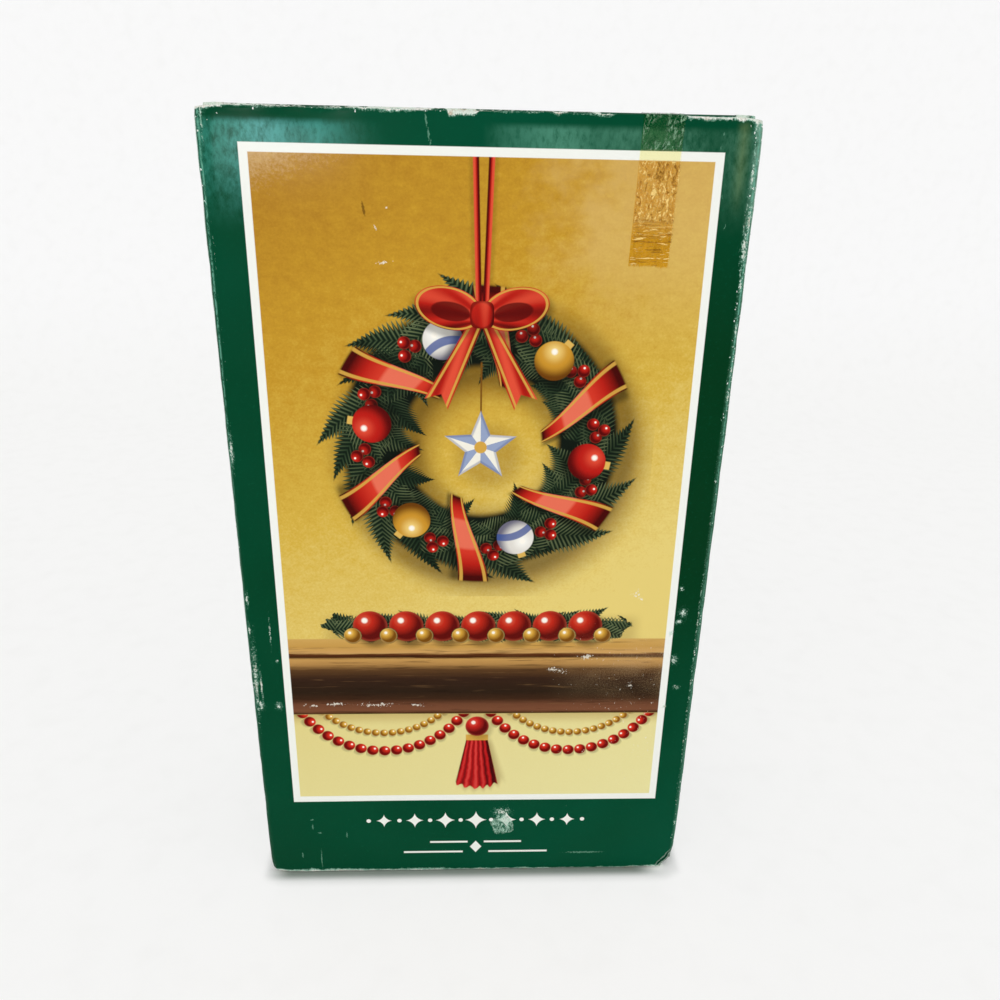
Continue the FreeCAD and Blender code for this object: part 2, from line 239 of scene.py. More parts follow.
class Value:
    """A socket that sums are written with: each operation adds its node to the same material.

    Colours are given as they look on a screen, from 0 to 255, and lengths in mm.
    """

    def __init__(self, socket):
        self.socket = socket

    def node(self, kind, settings=None, inputs=None, output=0):
        """Any node: its settings are set first, then the values or links of its sockets."""
        family = "" if kind.startswith(("Geometry", "Function")) else "ShaderNode"
        made = self.socket.id_data.nodes.new(family + kind)
        for name, setting in (settings or {}).items():
            if name == "stops":
                stops = made.color_ramp.elements
                stops.remove(stops[0])
                for number, (where, colour) in enumerate(setting):
                    stop = stops[0] if number == 0 else stops.new(where)
                    stop.position = where
                    stop.color = colour
            elif name == "steps":
                made.color_ramp.interpolation = setting
            else:
                setattr(made, name, setting)
        for name, given in (inputs or {}).items():
            if isinstance(given, Value):
                self.socket.id_data.links.new(made.inputs[name], given.socket)
            else:
                made.inputs[name].default_value = given
        return Value(made.outputs[output]) if made.outputs else None

    def beside(self, name):
        """Another output of the node that this socket belongs to."""
        return Value(self.socket.node.outputs[name])

    def math(self, operation, *others):
        return self.node("Math", {"operation": operation}, dict(enumerate((self, *others))))

    def __add__(self, other):
        return self.math("ADD", other)

    def __sub__(self, other):
        return self.math("SUBTRACT", other)

    def __rsub__(self, other):
        return self.node("Math", {"operation": "SUBTRACT"}, {0: other, 1: self})

    def __mul__(self, other):
        return self.math("MULTIPLY", other)

    def __truediv__(self, other):
        return self.math("DIVIDE", other)

    def __pow__(self, other):
        return self.math("POWER", other)

    def __abs__(self):
        return self.math("ABSOLUTE")

    __radd__ = __add__
    __rmul__ = __mul__

    def most(self, *others):
        greatest = self
        for other in others:
            greatest = greatest.math("MAXIMUM", other)
        return greatest

    def least(self, other):
        return self.math("MINIMUM", other)

    def nearest(self, step, last=None):
        """The nearest of the places a step apart: its number, and how far past it this value is."""
        number = (self / step).math("ROUND")
        if last is not None:
            number = number.most(-last).least(last)
        return number, self - number * step

    def rise(self, start, end):
        """0 at start and 1 at end, smooth between them. The end may be the smaller."""
        sockets = {"Value": self, "From Min": start, "From Max": end}
        return self.node("MapRange", {"interpolation_type": "SMOOTHSTEP"}, sockets)

    def below(self, limit, soft=0.2):
        """1 where this value is under a limit and 0 past it, with a soft edge."""
        return self.rise(limit + soft, limit - soft)

    def within(self, reach, soft=0.2):
        """1 while this value lies within a reach on both sides of 0."""
        return abs(self).below(reach, soft)

    def ramp(self, stops, steps="LINEAR"):
        return self.node("ValToRGB", {"steps": steps, "stops": stops}, {"Fac": self})

    def colours(self, *stops, steps="LINEAR"):
        """A colour ramp along this value."""
        return self.ramp([(where, ink(colour)) for where, colour in stops], steps)

    def amounts(self, *stops):
        """A ramp of plain amounts along this value."""
        return self.ramp([(where, (amount, amount, amount, 1)) for where, amount in stops]) * 1

    def under(self, colour, share, blend="MIX"):
        """This colour with another over it, by the share given."""
        settings = {"data_type": "RGBA", "blend_type": blend}
        over = colour if isinstance(colour, Value) else ink(colour)
        return self.node("Mix", settings, {0: share, 6: self, 7: over}, 2)

    def painted(self, *layers):
        """This colour with layers over it, each a colour and its share."""
        colour = self
        for layer, share in layers:
            colour = colour.under(layer, share)
        return colour

    def vector(self, operation, *others, output=0):
        given = dict(enumerate((self, *others)))
        return self.node("VectorMath", {"operation": operation}, given, output)

    def grain(self, size, detail=2.0, roughness=0.5, stretch=(1, 1, 1), seed=0.0, distortion=0.0):
        """Noise on this place, with blots of about the size given in mm."""
        scale = tuple(1 / part for part in stretch)
        sockets = {
            "Vector": self.vector("MULTIPLY_ADD", scale, (seed, seed, seed)), "Scale": 1 / size,
            "Detail": detail, "Roughness": roughness, "Distortion": distortion,
        }
        return self.node("TexNoise", {"noise_dimensions": "3D"}, sockets)

    def seen_from(self, centre, angle=0.0, size=(1, 1)):
        """This page place as seen from a motif: from its centre, turned and scaled with it."""
        sockets = {
            "Vector": self, "Location": (*centre, 0), "Rotation": (0, 0, math.radians(angle)),
            "Scale": (*size, 1),
        }
        return self.node("Mapping", {"vector_type": "TEXTURE"}, sockets)

    def parts(self):
        """The two page coordinates of this place."""
        split = self.node("SeparateXYZ", {}, {0: self})
        return split, split.beside("Y")

    def with_height(self, height):
        """A page place made of this distance across and a height."""
        return self.node("CombineXYZ", {}, {"X": self, "Y": height})

    def length(self):
        return self.vector("LENGTH", output="Value")

    def from_place(self, centre):
        """Distance from a point of the page."""
        return self.vector("DISTANCE", (*centre, 0), output="Value")


def start_material(name):
    """An empty material, the place on the object in mm, and the page: X across and Z up."""
    material = bpy.data.materials.new(name)
    material.use_nodes = True
    material.node_tree.nodes.clear()
    coordinates = material.node_tree.nodes.new("ShaderNodeTexCoord")
    place = Value(coordinates.outputs["Object"]).vector("MULTIPLY", (1 / MM,) * 3)
    x, _ = place.parts()
    return material, place, x.with_height(x.beside("Z"))


def finish_material(surface):
    surface.node("OutputMaterial", {}, {"Surface": surface})


# Adhesive from the tape has aged to amber and stained the print under it, in blots and streaks.
TAPE_HALF = 6.35
TAPE_TOP_X = 54.75
TAPE_LEAN = math.tan(math.radians(1.85))
TAPE_FOOT = HEIGHT - 45
TAPE_LID_END = -HALF_DEPTH + 38
DEEP_STAIN_TOP = TAPE_FOOT + 15


def stained(colour, place, x, y, z):
    """The print with the tape's stain over it, and where that stain is."""
    beside = x - TAPE_TOP_X + (HEIGHT - z) * TAPE_LEAN
    blots = place.grain(2.4, 3, 0.7, stretch=(0.55, 1, 1.7), seed=17)
    share = beside.within(TAPE_HALF, 0.12) * (z + blots * 3 - 1.2).rise(TAPE_FOOT, TAPE_FOOT + 0.9)
    share = share * y.rise(TAPE_LID_END, TAPE_LID_END - 0.5)
    stain = blots.colours((0.3, (228, 200, 154)), (0.46, (246, 226, 188)), (0.6, (252, 240, 212)))
    foot_stain = blots.colours((0.3, (214, 184, 66)), (0.6, (242, 216, 108)))
    stain = stain.painted(
        (foot_stain, z.rise(DEEP_STAIN_TOP, DEEP_STAIN_TOP - 7)),
        ((255, 251, 204), 1 - z.below(PICTURE_TOP)),
    )
    return colour.under(stain, share, "MULTIPLY"), share


WHITE_INK = (243, 245, 238)


def framed(colour, x, z, inner):
    """The white line round the picture, laid over a colour on its outer side or on its inner."""
    edge = (abs(x - PICTURE[0]) - PICTURE_HALF[0]).most(abs(z - PICTURE[1]) - PICTURE_HALF[1])
    share = 1 - edge.below(0, 0.15) if inner else edge.below(FRAME_LINE, 0.15)
    return colour.under(WHITE_INK, share)


# Loss of print: spots on the front (place, half sizes, turn), seen on the border or the picture.
SPOTS = (
    (83.6, 277.4, 0.4, 3.5, 0), (84.3, 264.7, 0.7, 3.6, 0), (84.0, 255.0, 0.9, 4.6, 3),
    (84.1, 244.8, 0.5, 1.9, 0), (84.4, 230.3, 0.4, 2.3, 0), (84.5, 216.3, 0.35, 1.7, 0),
    (84.5, 207.3, 0.4, 1.4, 0), (-84.3, 187.0, 0.5, 5.0, 0), (75.9, 134.6, 0.5, 0.8, 0),
    (77.3, 124.5, 1.1, 1.5, 0), (76.1, 120.7, 1.0, 0.8, 0), (73.6, 115.5, 0.7, 0.9, 0),
    (75.8, 104.1, 1.1, 1.3, 0), (77.8, 91.8, 0.9, 0.6, 0), (73.9, 83.1, 0.6, 0.6, 0),
    (59.6, 132.5, 1.0, 1.0, 20), (61.0, 131.0, 0.4, 0.9, 0), (59.6, 92.8, 0.5, 0.6, 0),
    (-65.9, 84.4, 0.7, 0.4, 0), (-62.9, 83.9, 1.1, 0.4, 0), (-33.2, 260.3, 0.3, 0.3, 0),
    (-29.3, 266.2, 0.25, 0.35, 0), (-84.0, 130.0, 0.4, 2.1, 0), (-84.4, 117.5, 0.4, 2.1, 0),
    (-83.7, 95.5, 0.7, 11.9, -1), (-82.6, 84.5, 1.0, 1.6, 0), (-81.8, 93.1, 0.35, 4.9, 0),
    (-75.9, 84.0, 1.0, 1.1, 0), (-75.1, 104.1, 0.4, 0.5, 0), (-76.8, 116.6, 0.2, 4.3, 0),
    (11.2, 31.3, 2.5, 1.6, 8), (83.9, 24.8, 0.5, 1.6, 0), (-38.0, 84.2, 4.0, 0.5, 0),
    (-54.0, 84.6, 2.2, 0.45, 0), (-22.5, 84.0, 1.6, 0.4, 0), (42.0, 105.5, 1.3, 0.6, 0),
    (30.5, 99.5, 2.0, 0.5, -10), (-31.0, 250.0, 1.4, 0.3, 8),
)
FAINT_SPOTS = (
    (-66.7, 28.5, 0.7, 0.4, 0), (-66.5, 24.9, 0.3, 1.5, 0), (-63.8, 21.7, 0.8, 0.4, 0),
    (-52.8, 20.5, 0.3, 1.5, 0), (-71.5, 10.1, 0.3, 1.4, 0), (-63.8, 7.9, 0.25, 4.8, 0),
    (46.0, 9.8, 7.7, 0.5, 0), (73.3, 289.4, 0.12, 0.6, 0), (72.8, 285.4, 0.15, 0.6, 0),
    (74.8, 271.4, 0.12, 0.6, 0), (76.8, 262.6, 0.15, 0.9, -20), (-17.0, 291.3, 0.3, 2.0, 8),
    (-16.3, 287.4, 0.25, 2.0, 4), (-15.7, 285.2, 0.2, 1.0, -14),
)


def spot_place(place, page, spots, kept):
    """How far out of the nearest spot: 0 in its middle, 1 at its rim. kept picks the spots."""
    wobble = place.grain(1.3, 3, 0.7, seed=41).beside("Color")
    rough = page.vector("ADD", wobble.vector("MULTIPLY_ADD", (1.3, 1.3, 0), (-0.65, -0.65, 0)))
    nearest = None
    for spot_x, spot_z, half_x, half_z, angle in spots:
        if kept(spot_x, spot_z):
            spot = rough.seen_from((spot_x, spot_z), angle, (half_x, half_z)).length()
            nearest = spot if nearest is None else nearest.least(spot)
    return nearest


def varnished(colour, place, lost, raw, rub, relief=0):
    """The board's surface: varnish over print, and bare liner or core where that is lost."""
    height = place.grain(60, 2, 0.5, seed=4) * 0.3 + place.grain(9, 1, seed=71) * 0.05
    height = height + place.grain(1.6, 1, seed=73) * 0.012 + relief
    bumped = place.node("Bump", {}, {"Strength": 1.0, "Distance": MM, "Height": height})
    return place.node("BsdfPrincipled", {}, {
        "Base Color": colour.under(raw, lost), "Roughness": 0.42 + lost * 0.45,
        "Coat Weight": (1 - lost) * (0.26 - rub * 0.2), "Coat Roughness": 0.13, "Coat IOR": 1.22,
        "Specular IOR Level": 0.015, "Normal": bumped,
    })


# The board itself: deep green on every side, with the white line, a row of small stars and two
# rules on the front, and the worn folds.
board_material, place, page = start_material("printed_board")
x, y = place.parts()
z = x.beside("Z")
from_side = HALF_WIDTH - abs(x)
from_front = HALF_DEPTH - abs(y)
from_top = HEIGHT - z
width_share = (x + HALF_WIDTH) / (2 * HALF_WIDTH)
on_front = y.rise(-HALF_DEPTH + FOLD_REACH, -HALF_DEPTH + FOLD_REACH - 0.4)
fibre = place.grain(0.5, 3, 0.7, seed=5)
patch = place.grain(3.6, 3, 0.65, seed=8)
rub = place.grain(26, 2, 0.6, seed=12)

cloud = place.grain(60, 2, 0.5, seed=4)
green = cloud.colours((0.2, (0, 63, 38)), (0.5, (0, 71, 45)), (0.8, (0, 78, 53)))
# Painted shade: the front's green is darker at mid height, and more so towards the right.
mid_shade = z.rise(60, 150) * z.rise(285, 215) * (0.35 + x.rise(20, 80) * 0.5) * on_front
green = green.under((0, 52, 22), mid_shade)
green = green.under((10, 94, 66), place.grain(1.2, 2, 0.6, seed=9).rise(0.55, 0.85) * 0.3)
streak = place.grain(1.9, 3, 0.7, stretch=(0.8, 1, 1.6), seed=15)
# Painted reflection: a mottled teal sheen along the top of the front, strongest at the left.
top_reflection = z.rise(HEIGHT - 38, HEIGHT - 12) * from_top.rise(3.4, 6.0) * on_front * width_share.amounts(
    (0.0, 0.5), (0.04, 0.85), (0.1, 1.0), (0.14, 1.0), (0.18, 0.7), (0.215, 0.85), (0.25, 0.5),
    (0.295, 0.12), (0.33, 0.0), (0.5, 0.0), (0.535, 0.35), (0.577, 0.6), (0.62, 0.85), (0.66, 0.8),
    (0.7, 0.5), (0.75, 0.62), (0.8, 0.5), (0.87, 0.5), (0.91, 0.2), (0.955, 0.5), (1.0, 0.2),
)
top_reflection = top_reflection * (streak + rub * 0.5 - 0.3).rise(0.05, 0.7)
reflection_tone = width_share.colours(
    (0.0, (60, 160, 138)), (0.12, (96, 178, 172)), (0.25, (60, 156, 142)), (0.5, (84, 154, 130)),
    (1.0, (96, 152, 124)),
)
green = green.under(reflection_tone, top_reflection * 0.8)

STAR_ROW = 27.5
STAR_PITCH = 12.6
RULES = ((16.1, 19.0, 3.2), (10.9, 30.0, 5.2))
middle_x = x - PICTURE[0]
star_number, star_x = middle_x.nearest(STAR_PITCH, 3)
star_z = abs(z - STAR_ROW)
star_size = 4.6 - abs(star_number) * 0.45
title = ((abs(star_x) / star_size) ** 0.62 + (star_z / star_size) ** 0.62).below(1, 0.04)
dot_x = star_x - star_x.math("SIGN") * (STAR_PITCH / 2)
title = title.most((dot_x * dot_x + star_z * star_z).below(0.8) * middle_x.within(46, 1))
for rule_z, reach, gap in RULES:
    rule = (z - rule_z).within(0.45, 0.12) * middle_x.within(reach)
    title = title.most(rule * abs(middle_x).rise(gap, gap + 0.4))
title = title.most((abs(middle_x) + abs(z - 13.5) * 0.8).below(2.4))
printed = framed(green, x, z, inner=False)
printed = green.under(printed, on_front)
printed = printed.under(WHITE_INK, title * on_front)
printed, tape_share = stained(printed, place, x, y, z)


def ragged(patches, fibres, rubs=0):
    """A ragged shift in mm, made of patches, of single fibres and of broad rubbed stretches."""
    return (patch - 0.5) * patches + (fibre - 0.5) * fibres + (rub - 0.5) * rubs


# Along the folds: a ragged bare lip at the top, and abraded uprights with flakes and fine lines.
lip_width = width_share.amounts(
    (0.0, 0.8), (0.03, 0.5), (0.08, 0.4), (0.2, 0.32), (0.26, 0.42), (0.38, 0.5), (0.42, 0.26),
    (0.437, 0.3), (0.442, 0.85), (0.485, 0.8), (0.495, 0.32), (0.62, 0.28), (0.63, 0.42),
    (0.65, 0.3), (0.69, 0.26), (0.70, 0.5), (0.725, 0.5), (0.735, 0.22), (0.78, 0.0), (0.85, 0.0),
    (0.86, 0.55), (0.96, 0.62), (1.0, 1.0),
)
lip_field = lip_width * 3.2 + ragged(2.4, 1.5) - 0.3 - from_top
lip_back = from_front + x.rise(30, 60) * 1.6 + ragged(6, 2, 4)
lip = lip_field.rise(0.0, 0.4) * lip_back.rise(4.0, 3.4) * (1 - tape_share * 0.8)
upright = from_side + from_front
is_right = x.rise(-1, 1)
height_share = z / HEIGHT
right_chance = height_share.amounts(
    (0.0, 0.45), (0.06, 0.25), (0.2, 0.42), (0.44, 0.5), (0.5, 0.42), (0.6, 0.3), (0.7, 0.26),
    (0.78, 0.26), (0.83, 0.42), (0.93, 0.48), (0.97, 0.55), (1.0, 0.9),
)
left_chance = height_share.amounts(
    (0.0, 0.5), (0.05, 0.22), (0.25, 0.3), (0.4, 0.34), (0.62, 0.3), (0.82, 0.42), (0.95, 0.45),
    (1.0, 0.85),
)
chance = left_chance + (right_chance - left_chance) * is_right
clumps = place.grain(1.0, 4, 0.85, stretch=(1, 1, 1.7), seed=26)
speckle = place.grain(0.7, 3, 0.9, seed=61)
near_front = from_front.rise(3.4, 2.4)
inner_fold = abs(from_side - 2.7 - (rub - 0.5) * 1.6) + (1 - is_right) * (0.25 + z.rise(200, 130))
outer_fold = abs(from_side - 0.3) * (1.4 - is_right * 0.4) + is_right * 0.35 - 0.15
fold_line = inner_fold.least(outer_fold)
flakes = (chance * 2.0 - 1.0 + (clumps - 0.5) * 6.0 - fold_line * 1.25).rise(0.0, 0.35)
flakes = flakes * near_front * (speckle + (rub - 0.5) * 0.3).rise(0.38, 0.47)
abraded = (chance * 1.7 - 0.35 - from_side * 0.13).rise(0, 0.6) * speckle.rise(0.40, 0.60)
abraded = abraded * upright.rise(5.0, 2.4) * (is_right * 0.4 + 0.45) * patch.rise(0.3, 0.55)
glare = (from_side - 6.4).within(1.0, 2.2) * z.rise(264, 280) * from_top.rise(1, 4) * is_right
low_left = z.rise(160, 110) * (1 - is_right)
fold_light = from_side.rise(0.9 + is_right * 2.2, 0.5 + is_right) * (rub * 0.5 + speckle * 0.6)
fold_light = fold_light * speckle.rise(0.32, 0.58) * (0.45 + low_left * 0.5 + is_right * 1.1)
top_wash = from_side.rise(4.2, 1.2) * z.rise(254, 278) * is_right * patch.rise(0.3, 0.55)
pale_edge = from_side.rise(0.9, 0.1) * clumps.rise(0.34, 0.5)
pale_edge = pale_edge * (from_front + (patch - 0.5) * 3).rise(2.8, 1.8)
high = z.rise(140, 250)
mint_place = 1.0 + high * 0.5 + is_right * (1 - high) * 0.5
mint_line = (from_side - mint_place).within(0.1 + high * 0.15, 0.35) * clumps.rise(0.40, 0.56)
mint_line = mint_line * near_front * (0.3 + high * 0.65 + is_right * 0.15)
# Painted shadow: a dark line in the crease along the left fold.
crease_shadow = (from_side - 0.45 - high * 0.25).within(0.15, 0.2) * near_front * fibre.rise(0.3, 0.5)
crease_shadow = crease_shadow * (0.15 + high * 0.6) * (1 - is_right)
# Painted shade: dark specks in small dents along the worn folds.
dent_shade = (speckle - 0.45).rise(0.0, -0.12) * (chance * 2 - 0.5 - fold_line * 0.5).rise(0, 0.5)

# The folds that the front doesn't show, the bare line at the foot, and the corners.
nearer_panel = from_side.least(from_front)
other_folds = upright.least(from_top + nearer_panel).least(z + nearer_panel)
worn = (ragged(3.6, 1.4, 3.0) - 0.35 - other_folds).rise(0.0, 0.4)
foot_width = width_share.amounts(
    (0.0, 0.75), (0.3, 0.6), (0.6, 0.5), (0.75, 0.4), (0.88, 0.42), (0.95, 0.6), (1.0, 0.7)
)
foot_field = foot_width * 2.8 + ragged(3.2, 1.6) - z
foot = foot_field.rise(0.0, 0.5) * from_front.rise(4, 2)
corner = from_side + from_front + from_top.least(z)
corner_field = 2.2 + z.rise(30, 20) * (1 - is_right) * 1.6 + ragged(5.0, 2.5) - corner * 0.85
crush_x = from_side / 6.5 + z / 8.5 + (patch - 0.5) * 0.5
crushed = 0
for crush_place, reach, soft, share in (
    (1.05, 0.06, 0.08, 1), (1.34, 0.04, 0.05, 0.8), (1.62, 0.02, 0.04, 0.6)
):
    crushed = ((crush_x - crush_place).within(reach, soft) * share).most(crushed)
crushed = crushed * is_right * near_front * y.rise(0, -1) * (speckle * 3 - 0.8)
crush_shade = (crush_x - 1.2).within(0.05, 0.08).most((crush_x - 1.48).within(0.04, 0.08))
crush_shade = crush_shade * is_right
thinned = (lip_field + 0.5).rise(0.0, 0.6) * from_front.rise(3.4, 2.0) * (1 - tape_share)
thinned = thinned.most((corner_field + 0.8).rise(0.0, 1.2)) * clumps.rise(0.42, 0.6)
thinned = thinned.most((foot_field + 0.7).rise(0.0, 0.6) * on_front * clumps.rise(0.3, 0.5))
# Painted light here: glare and fold light are highlights; crease, dents and crush are shade.
printed = printed.painted(
    ((104, 168, 144), abraded),
    ((120, 142, 92), glare * on_front * (0.15 + streak * 0.5)),
    ((70, 122, 98), (fold_light * from_front.rise(3.6, 2.0)).least(1)),
    ((120, 162, 142), top_wash * on_front * 0.75),
    ((206, 232, 216), pale_edge * 0.9),
    ((110, 178, 154), mint_line),
    ((0, 26, 16), crease_shadow),
    ((136, 186, 164), flakes * 0.85),
    ((0, 28, 18), dent_shade * on_front * 0.75),
    ((0, 30, 18), crush_shade * on_front * 0.8),
    ((150, 200, 178), thinned * 0.8),
)
white_flakes = flakes * patch.rise(0.46, 0.66) * 0.6
lost = lip.most(white_flakes, worn, foot, corner_field.rise(0.0, 0.5), crushed)


def on_border(spot_x, spot_z):
    inside_x = abs(spot_x - PICTURE[0]) < PICTURE_HALF[0]
    return not (inside_x and abs(spot_z - PICTURE[1]) < PICTURE_HALF[1])


spot = spot_place(place, page, SPOTS, on_border)
faint = 1.1 - spot_place(place, page, FAINT_SPOTS, on_border) + (speckle - 0.5) * 3
broken = (clumps - 0.5) * 2.4 + (speckle - 0.5) * 3.0
torn = page.seen_from((11.3, 25.0), 0, (4.6, 5.2)).length() + (patch - 0.5) * 1.2
torn = torn.rise(1.05, 0.85) * on_front
torn_streak = place.grain(0.8, 3, 0.8, stretch=(0.8, 1, 2.2), seed=88)
printed = printed.painted(
    ((122, 184, 160), (0.8 - spot * 0.5 + broken).rise(0.0, 0.8) * on_front * 0.6),
    ((120, 176, 150), faint.rise(0.0, 0.6) * on_front * 0.5),
    ((168, 206, 186), torn * torn_streak.rise(0.4, 0.62)),
    ((20, 96, 68), torn * torn_streak.rise(0.5, 0.35)),
)
specks = place.grain(0.8, 2, 0.8, seed=77).rise(0.79, 0.83)
lost = lost.most((0.4 - spot * 0.55 + broken).rise(0.0, 0.4) * on_front * 0.95, specks * 0.45)
liner = fibre.colours((0.3, (190, 190, 176)), (0.5, (228, 230, 220)), (0.7, (246, 247, 243)))
core = fibre.colours((0.3, (128, 108, 82)), (0.5, (180, 162, 132)), (0.7, (212, 198, 170)))
deep = (ragged(5, 0, 4) - 0.2 + (x + 6.5).within(4.5, 1.5) * lip).rise(0.2, 1.0)
raw = liner.painted((core, deep * 0.7), ((190, 226, 206), patch.rise(0.6, 0.4) * 0.35))
bare = (patch * 2.4 + 1.0 - upright).most(lip_width * 3.2 + 0.4 - from_top).rise(0.0, 0.4)
relief = fibre * (0.02 + bare * 0.1) - bare * 0.1 - crush_shade * 0.3
finish_material(varnished(printed, place, lost, raw, rub, relief))
board_mesh.materials.append(board_material)


# The picture is printed on the same board in one pass: a gold backdrop, a fir wreath hung by a red
# bow, and a dark shelf with glass balls, beads and a tassel. Each field of it has its own material.
FIR_DARK = (16, 26, 18)
FIR_DEEP = (36, 56, 36)
FIR_LIGHT = (124, 134, 92)
RIBBON_DARK = (86, 10, 8)
RIBBON_RED = (184, 32, 22)
RIBBON_STOPS = ((0.1, RIBBON_DARK), (0.5, RIBBON_RED), (0.9, (226, 80, 56)))
GILT = (214, 166, 72)
SHADE = (10, 14, 8)
WHITE_LIGHT = (255, 250, 238)


def start_picture(name):
    """A picture material with its gold backdrop, lighter towards its lower right."""
    material, place, page = start_material(name)
    page_x, page_z = page.parts()
    right = (page_x - PICTURE[0]) / (2 * PICTURE_HALF[0]) + 0.5
    up = (page_z - SHELF_TOP) / (PICTURE_TOP - SHELF_TOP)
    weave = page.grain(0.8, 2, 0.7, seed=21)
    glow = 0.86 - up * 0.72 + right * 0.30 + (page.grain(60, 1, seed=2) - 0.5) * 0.16
    canvas = page.grain(3.6, 3, 0.75, stretch=(1.3, 0.9, 1), seed=22)
    gold = (glow + (weave - 0.5) * 0.32 + (canvas - 0.5) * (up * 0.3 + 0.2)).colours(
        (0.12, (176, 126, 36)), (0.42, (197, 150, 44)), (0.7, (214, 178, 72)),
        (1.0, (231, 208, 122)),
    )
    # Painted reflections: a pale mottled sheen at the upper left and a warm one at the upper right.
    fine = page.grain(0.9, 2, 0.8, seed=6)
    corner_reflection = right * 2.6 + (1 - up) * 9.0 + (0.5 - fine) * 1.1
    gold = gold.under((232, 204, 160), corner_reflection.rise(0.65, -0.1) * 0.4)
    sheen = right + (page.grain(16, 3, 0.65, seed=24) - 0.5) * 0.5
    gold = gold.under((228, 196, 128), sheen.rise(0.62, 0.85) * up.rise(0.6, 0.9) * 0.42)
    return (material, place, page, page_x, page_z, weave), gold


def finish_picture(field, picture, kept):
    """Adds the frame line, the tape's stain, spots, scuffs and varnish to the picture's field."""
    material, place, page, page_x, page_z, weave = field
    _, behind = place.parts()
    picture = framed(picture, page_x, page_z, inner=True)
    picture, tape_share = stained(picture, place, page_x, behind, page_z)
    rub = page.grain(26, 2, 0.6, seed=12)
    scuff_field = (page_x.rise(-10, 60) * page_z.rise(150, 100) + 0.25) * (rub + 0.5)
    scuffs = page.grain(1.5, 4, 0.75, stretch=(0.8, 1.5, 1), seed=33) + scuff_field * 0.1
    broken = (weave - 0.5) * 5 + (scuffs - 0.5) * 3 - spot_place(place, page, SPOTS, kept) * 0.55
    lost = (scuffs.rise(0.76, 0.80) * 0.7).most((0.45 + broken).rise(0, 0.5) * 0.75)
    raw = weave.colours((0.3, (214, 204, 178)), (0.7, (248, 244, 232)))
    finish_material(varnished(picture, place, lost * (1 - tape_share), raw, rub))
    board_mesh.materials.append(material)


def in_wreath_field(spot_x, spot_z):
    inside = max(abs(spot_x - WREATH[0]), abs(spot_z - WREATH[1])) < WREATH_REACH + 1
    return inside and spot_z > SHELF_TOP


def in_shelf_field(spot_x, spot_z):
    return not on_border(spot_x, spot_z) and spot_z < SHELF_TOP + SHELF_REACH + 2


def in_backdrop_field(spot_x, spot_z):
    outside = on_border(spot_x, spot_z) or in_wreath_field(spot_x, spot_z)
    return not outside and spot_z > SHELF_TOP


def ball(colour, seat, radius, dark, middle, light, shadow):
    """A glass ball at a place seen from its own centre: shadow, body, rim and its light."""
    distance = seat.length()
    lit = seat.from_place((-0.32 * radius, 0.38 * radius))
    body = (lit / radius).colours((0.0, light), (0.45, middle), (1.0, dark)).painted(
        (light, (distance / radius).rise(0.8, 1.0) * 0.25),
        (WHITE_LIGHT, lit.rise(radius * 0.24, radius * 0.1)),
    )
    cast = seat.from_place((0.25 * radius, -0.3 * radius)).rise(radius * 1.35, radius * 0.8)
    return colour.painted((SHADE, cast * shadow), (body, distance.below(radius)))


def sprig_row(colour, along, across, pitch, count, lean, root, length, width, seed):
    """A row of fir sprigs: each leaves the stem a pitch past the one before and laps it."""
    for lag in (1, 0):
        number = (along / pitch).math("FLOOR") - lag
        dice = number.node(
            "TexWhiteNoise", {"noise_dimensions": "1D"},
            {"W": number.math("FLOORED_MODULO", count) + seed}, "Color",
        )
        first, second = dice.parts()
        third = first.beside("Z")
        start = along - (number + first * 0.5) * pitch
        start = start.with_height(across - root - (second - 0.5) * 4)
        twig, wide = start.node("VectorRotate", {"rotation_type": "Z_AXIS"}, {
            "Vector": start, "Angle": (third - 0.5) * -0.6 - math.radians(lean),
        }).parts()
        side = abs(wide)
        needle = (twig - side * 0.9).math("PINGPONG", 0.75) / 0.75
        taper = twig.rise(length, length * 0.3) * width
        cover = (side - taper * (0.45 + needle * 0.55)).below(0, 0.25)
        cover = cover * twig.rise(-1, 0.4) * twig.rise(length * 0.97, length * 0.9)
        tone = needle * (0.45 + second * 0.5) * side.rise(-width * 0.9, width * 0.55)
        leaf = tone.colours((0.05, FIR_DARK), (0.35, FIR_DEEP), (0.95, FIR_LIGHT))
        colour = colour.under(leaf, cover)
    return colour


BOW_PLACE = (0.5, 233.0)


def hung(colour, page_x, page_z):
    """The two ribbons from the bow up to the picture's edge."""
    ribbon_x = abs(page_x - BOW_PLACE[0]) - 1.0 - (page_z - BOW_PLACE[1]) * 0.03
    above = page_z.rise(BOW_PLACE[1], BOW_PLACE[1] + 2)
    ribbon = (ribbon_x + 0.5).colours(*RIBBON_STOPS)
    return colour.painted(
        (SHADE, (ribbon_x - 1.2).within(0.9, 0.8) * above * 0.25),
        (ribbon, ribbon_x.within(0.95) * above),
    )


# Upper field: only the backdrop, with a dark scratch, and the two ribbons that the wreath hangs by.
field, picture = start_picture("picture_backdrop")
page, page_x, page_z, weave = field[2:]
scratch = page.seen_from((-36.6, 265.9), 10, (0.45, 2.4)).length() + (weave - 0.5) * 1.2
picture = hung(picture, page_x, page_z).under((112, 76, 20), scratch.rise(1.2, 0.6) * 0.8)
finish_picture(field, picture, in_backdrop_field)

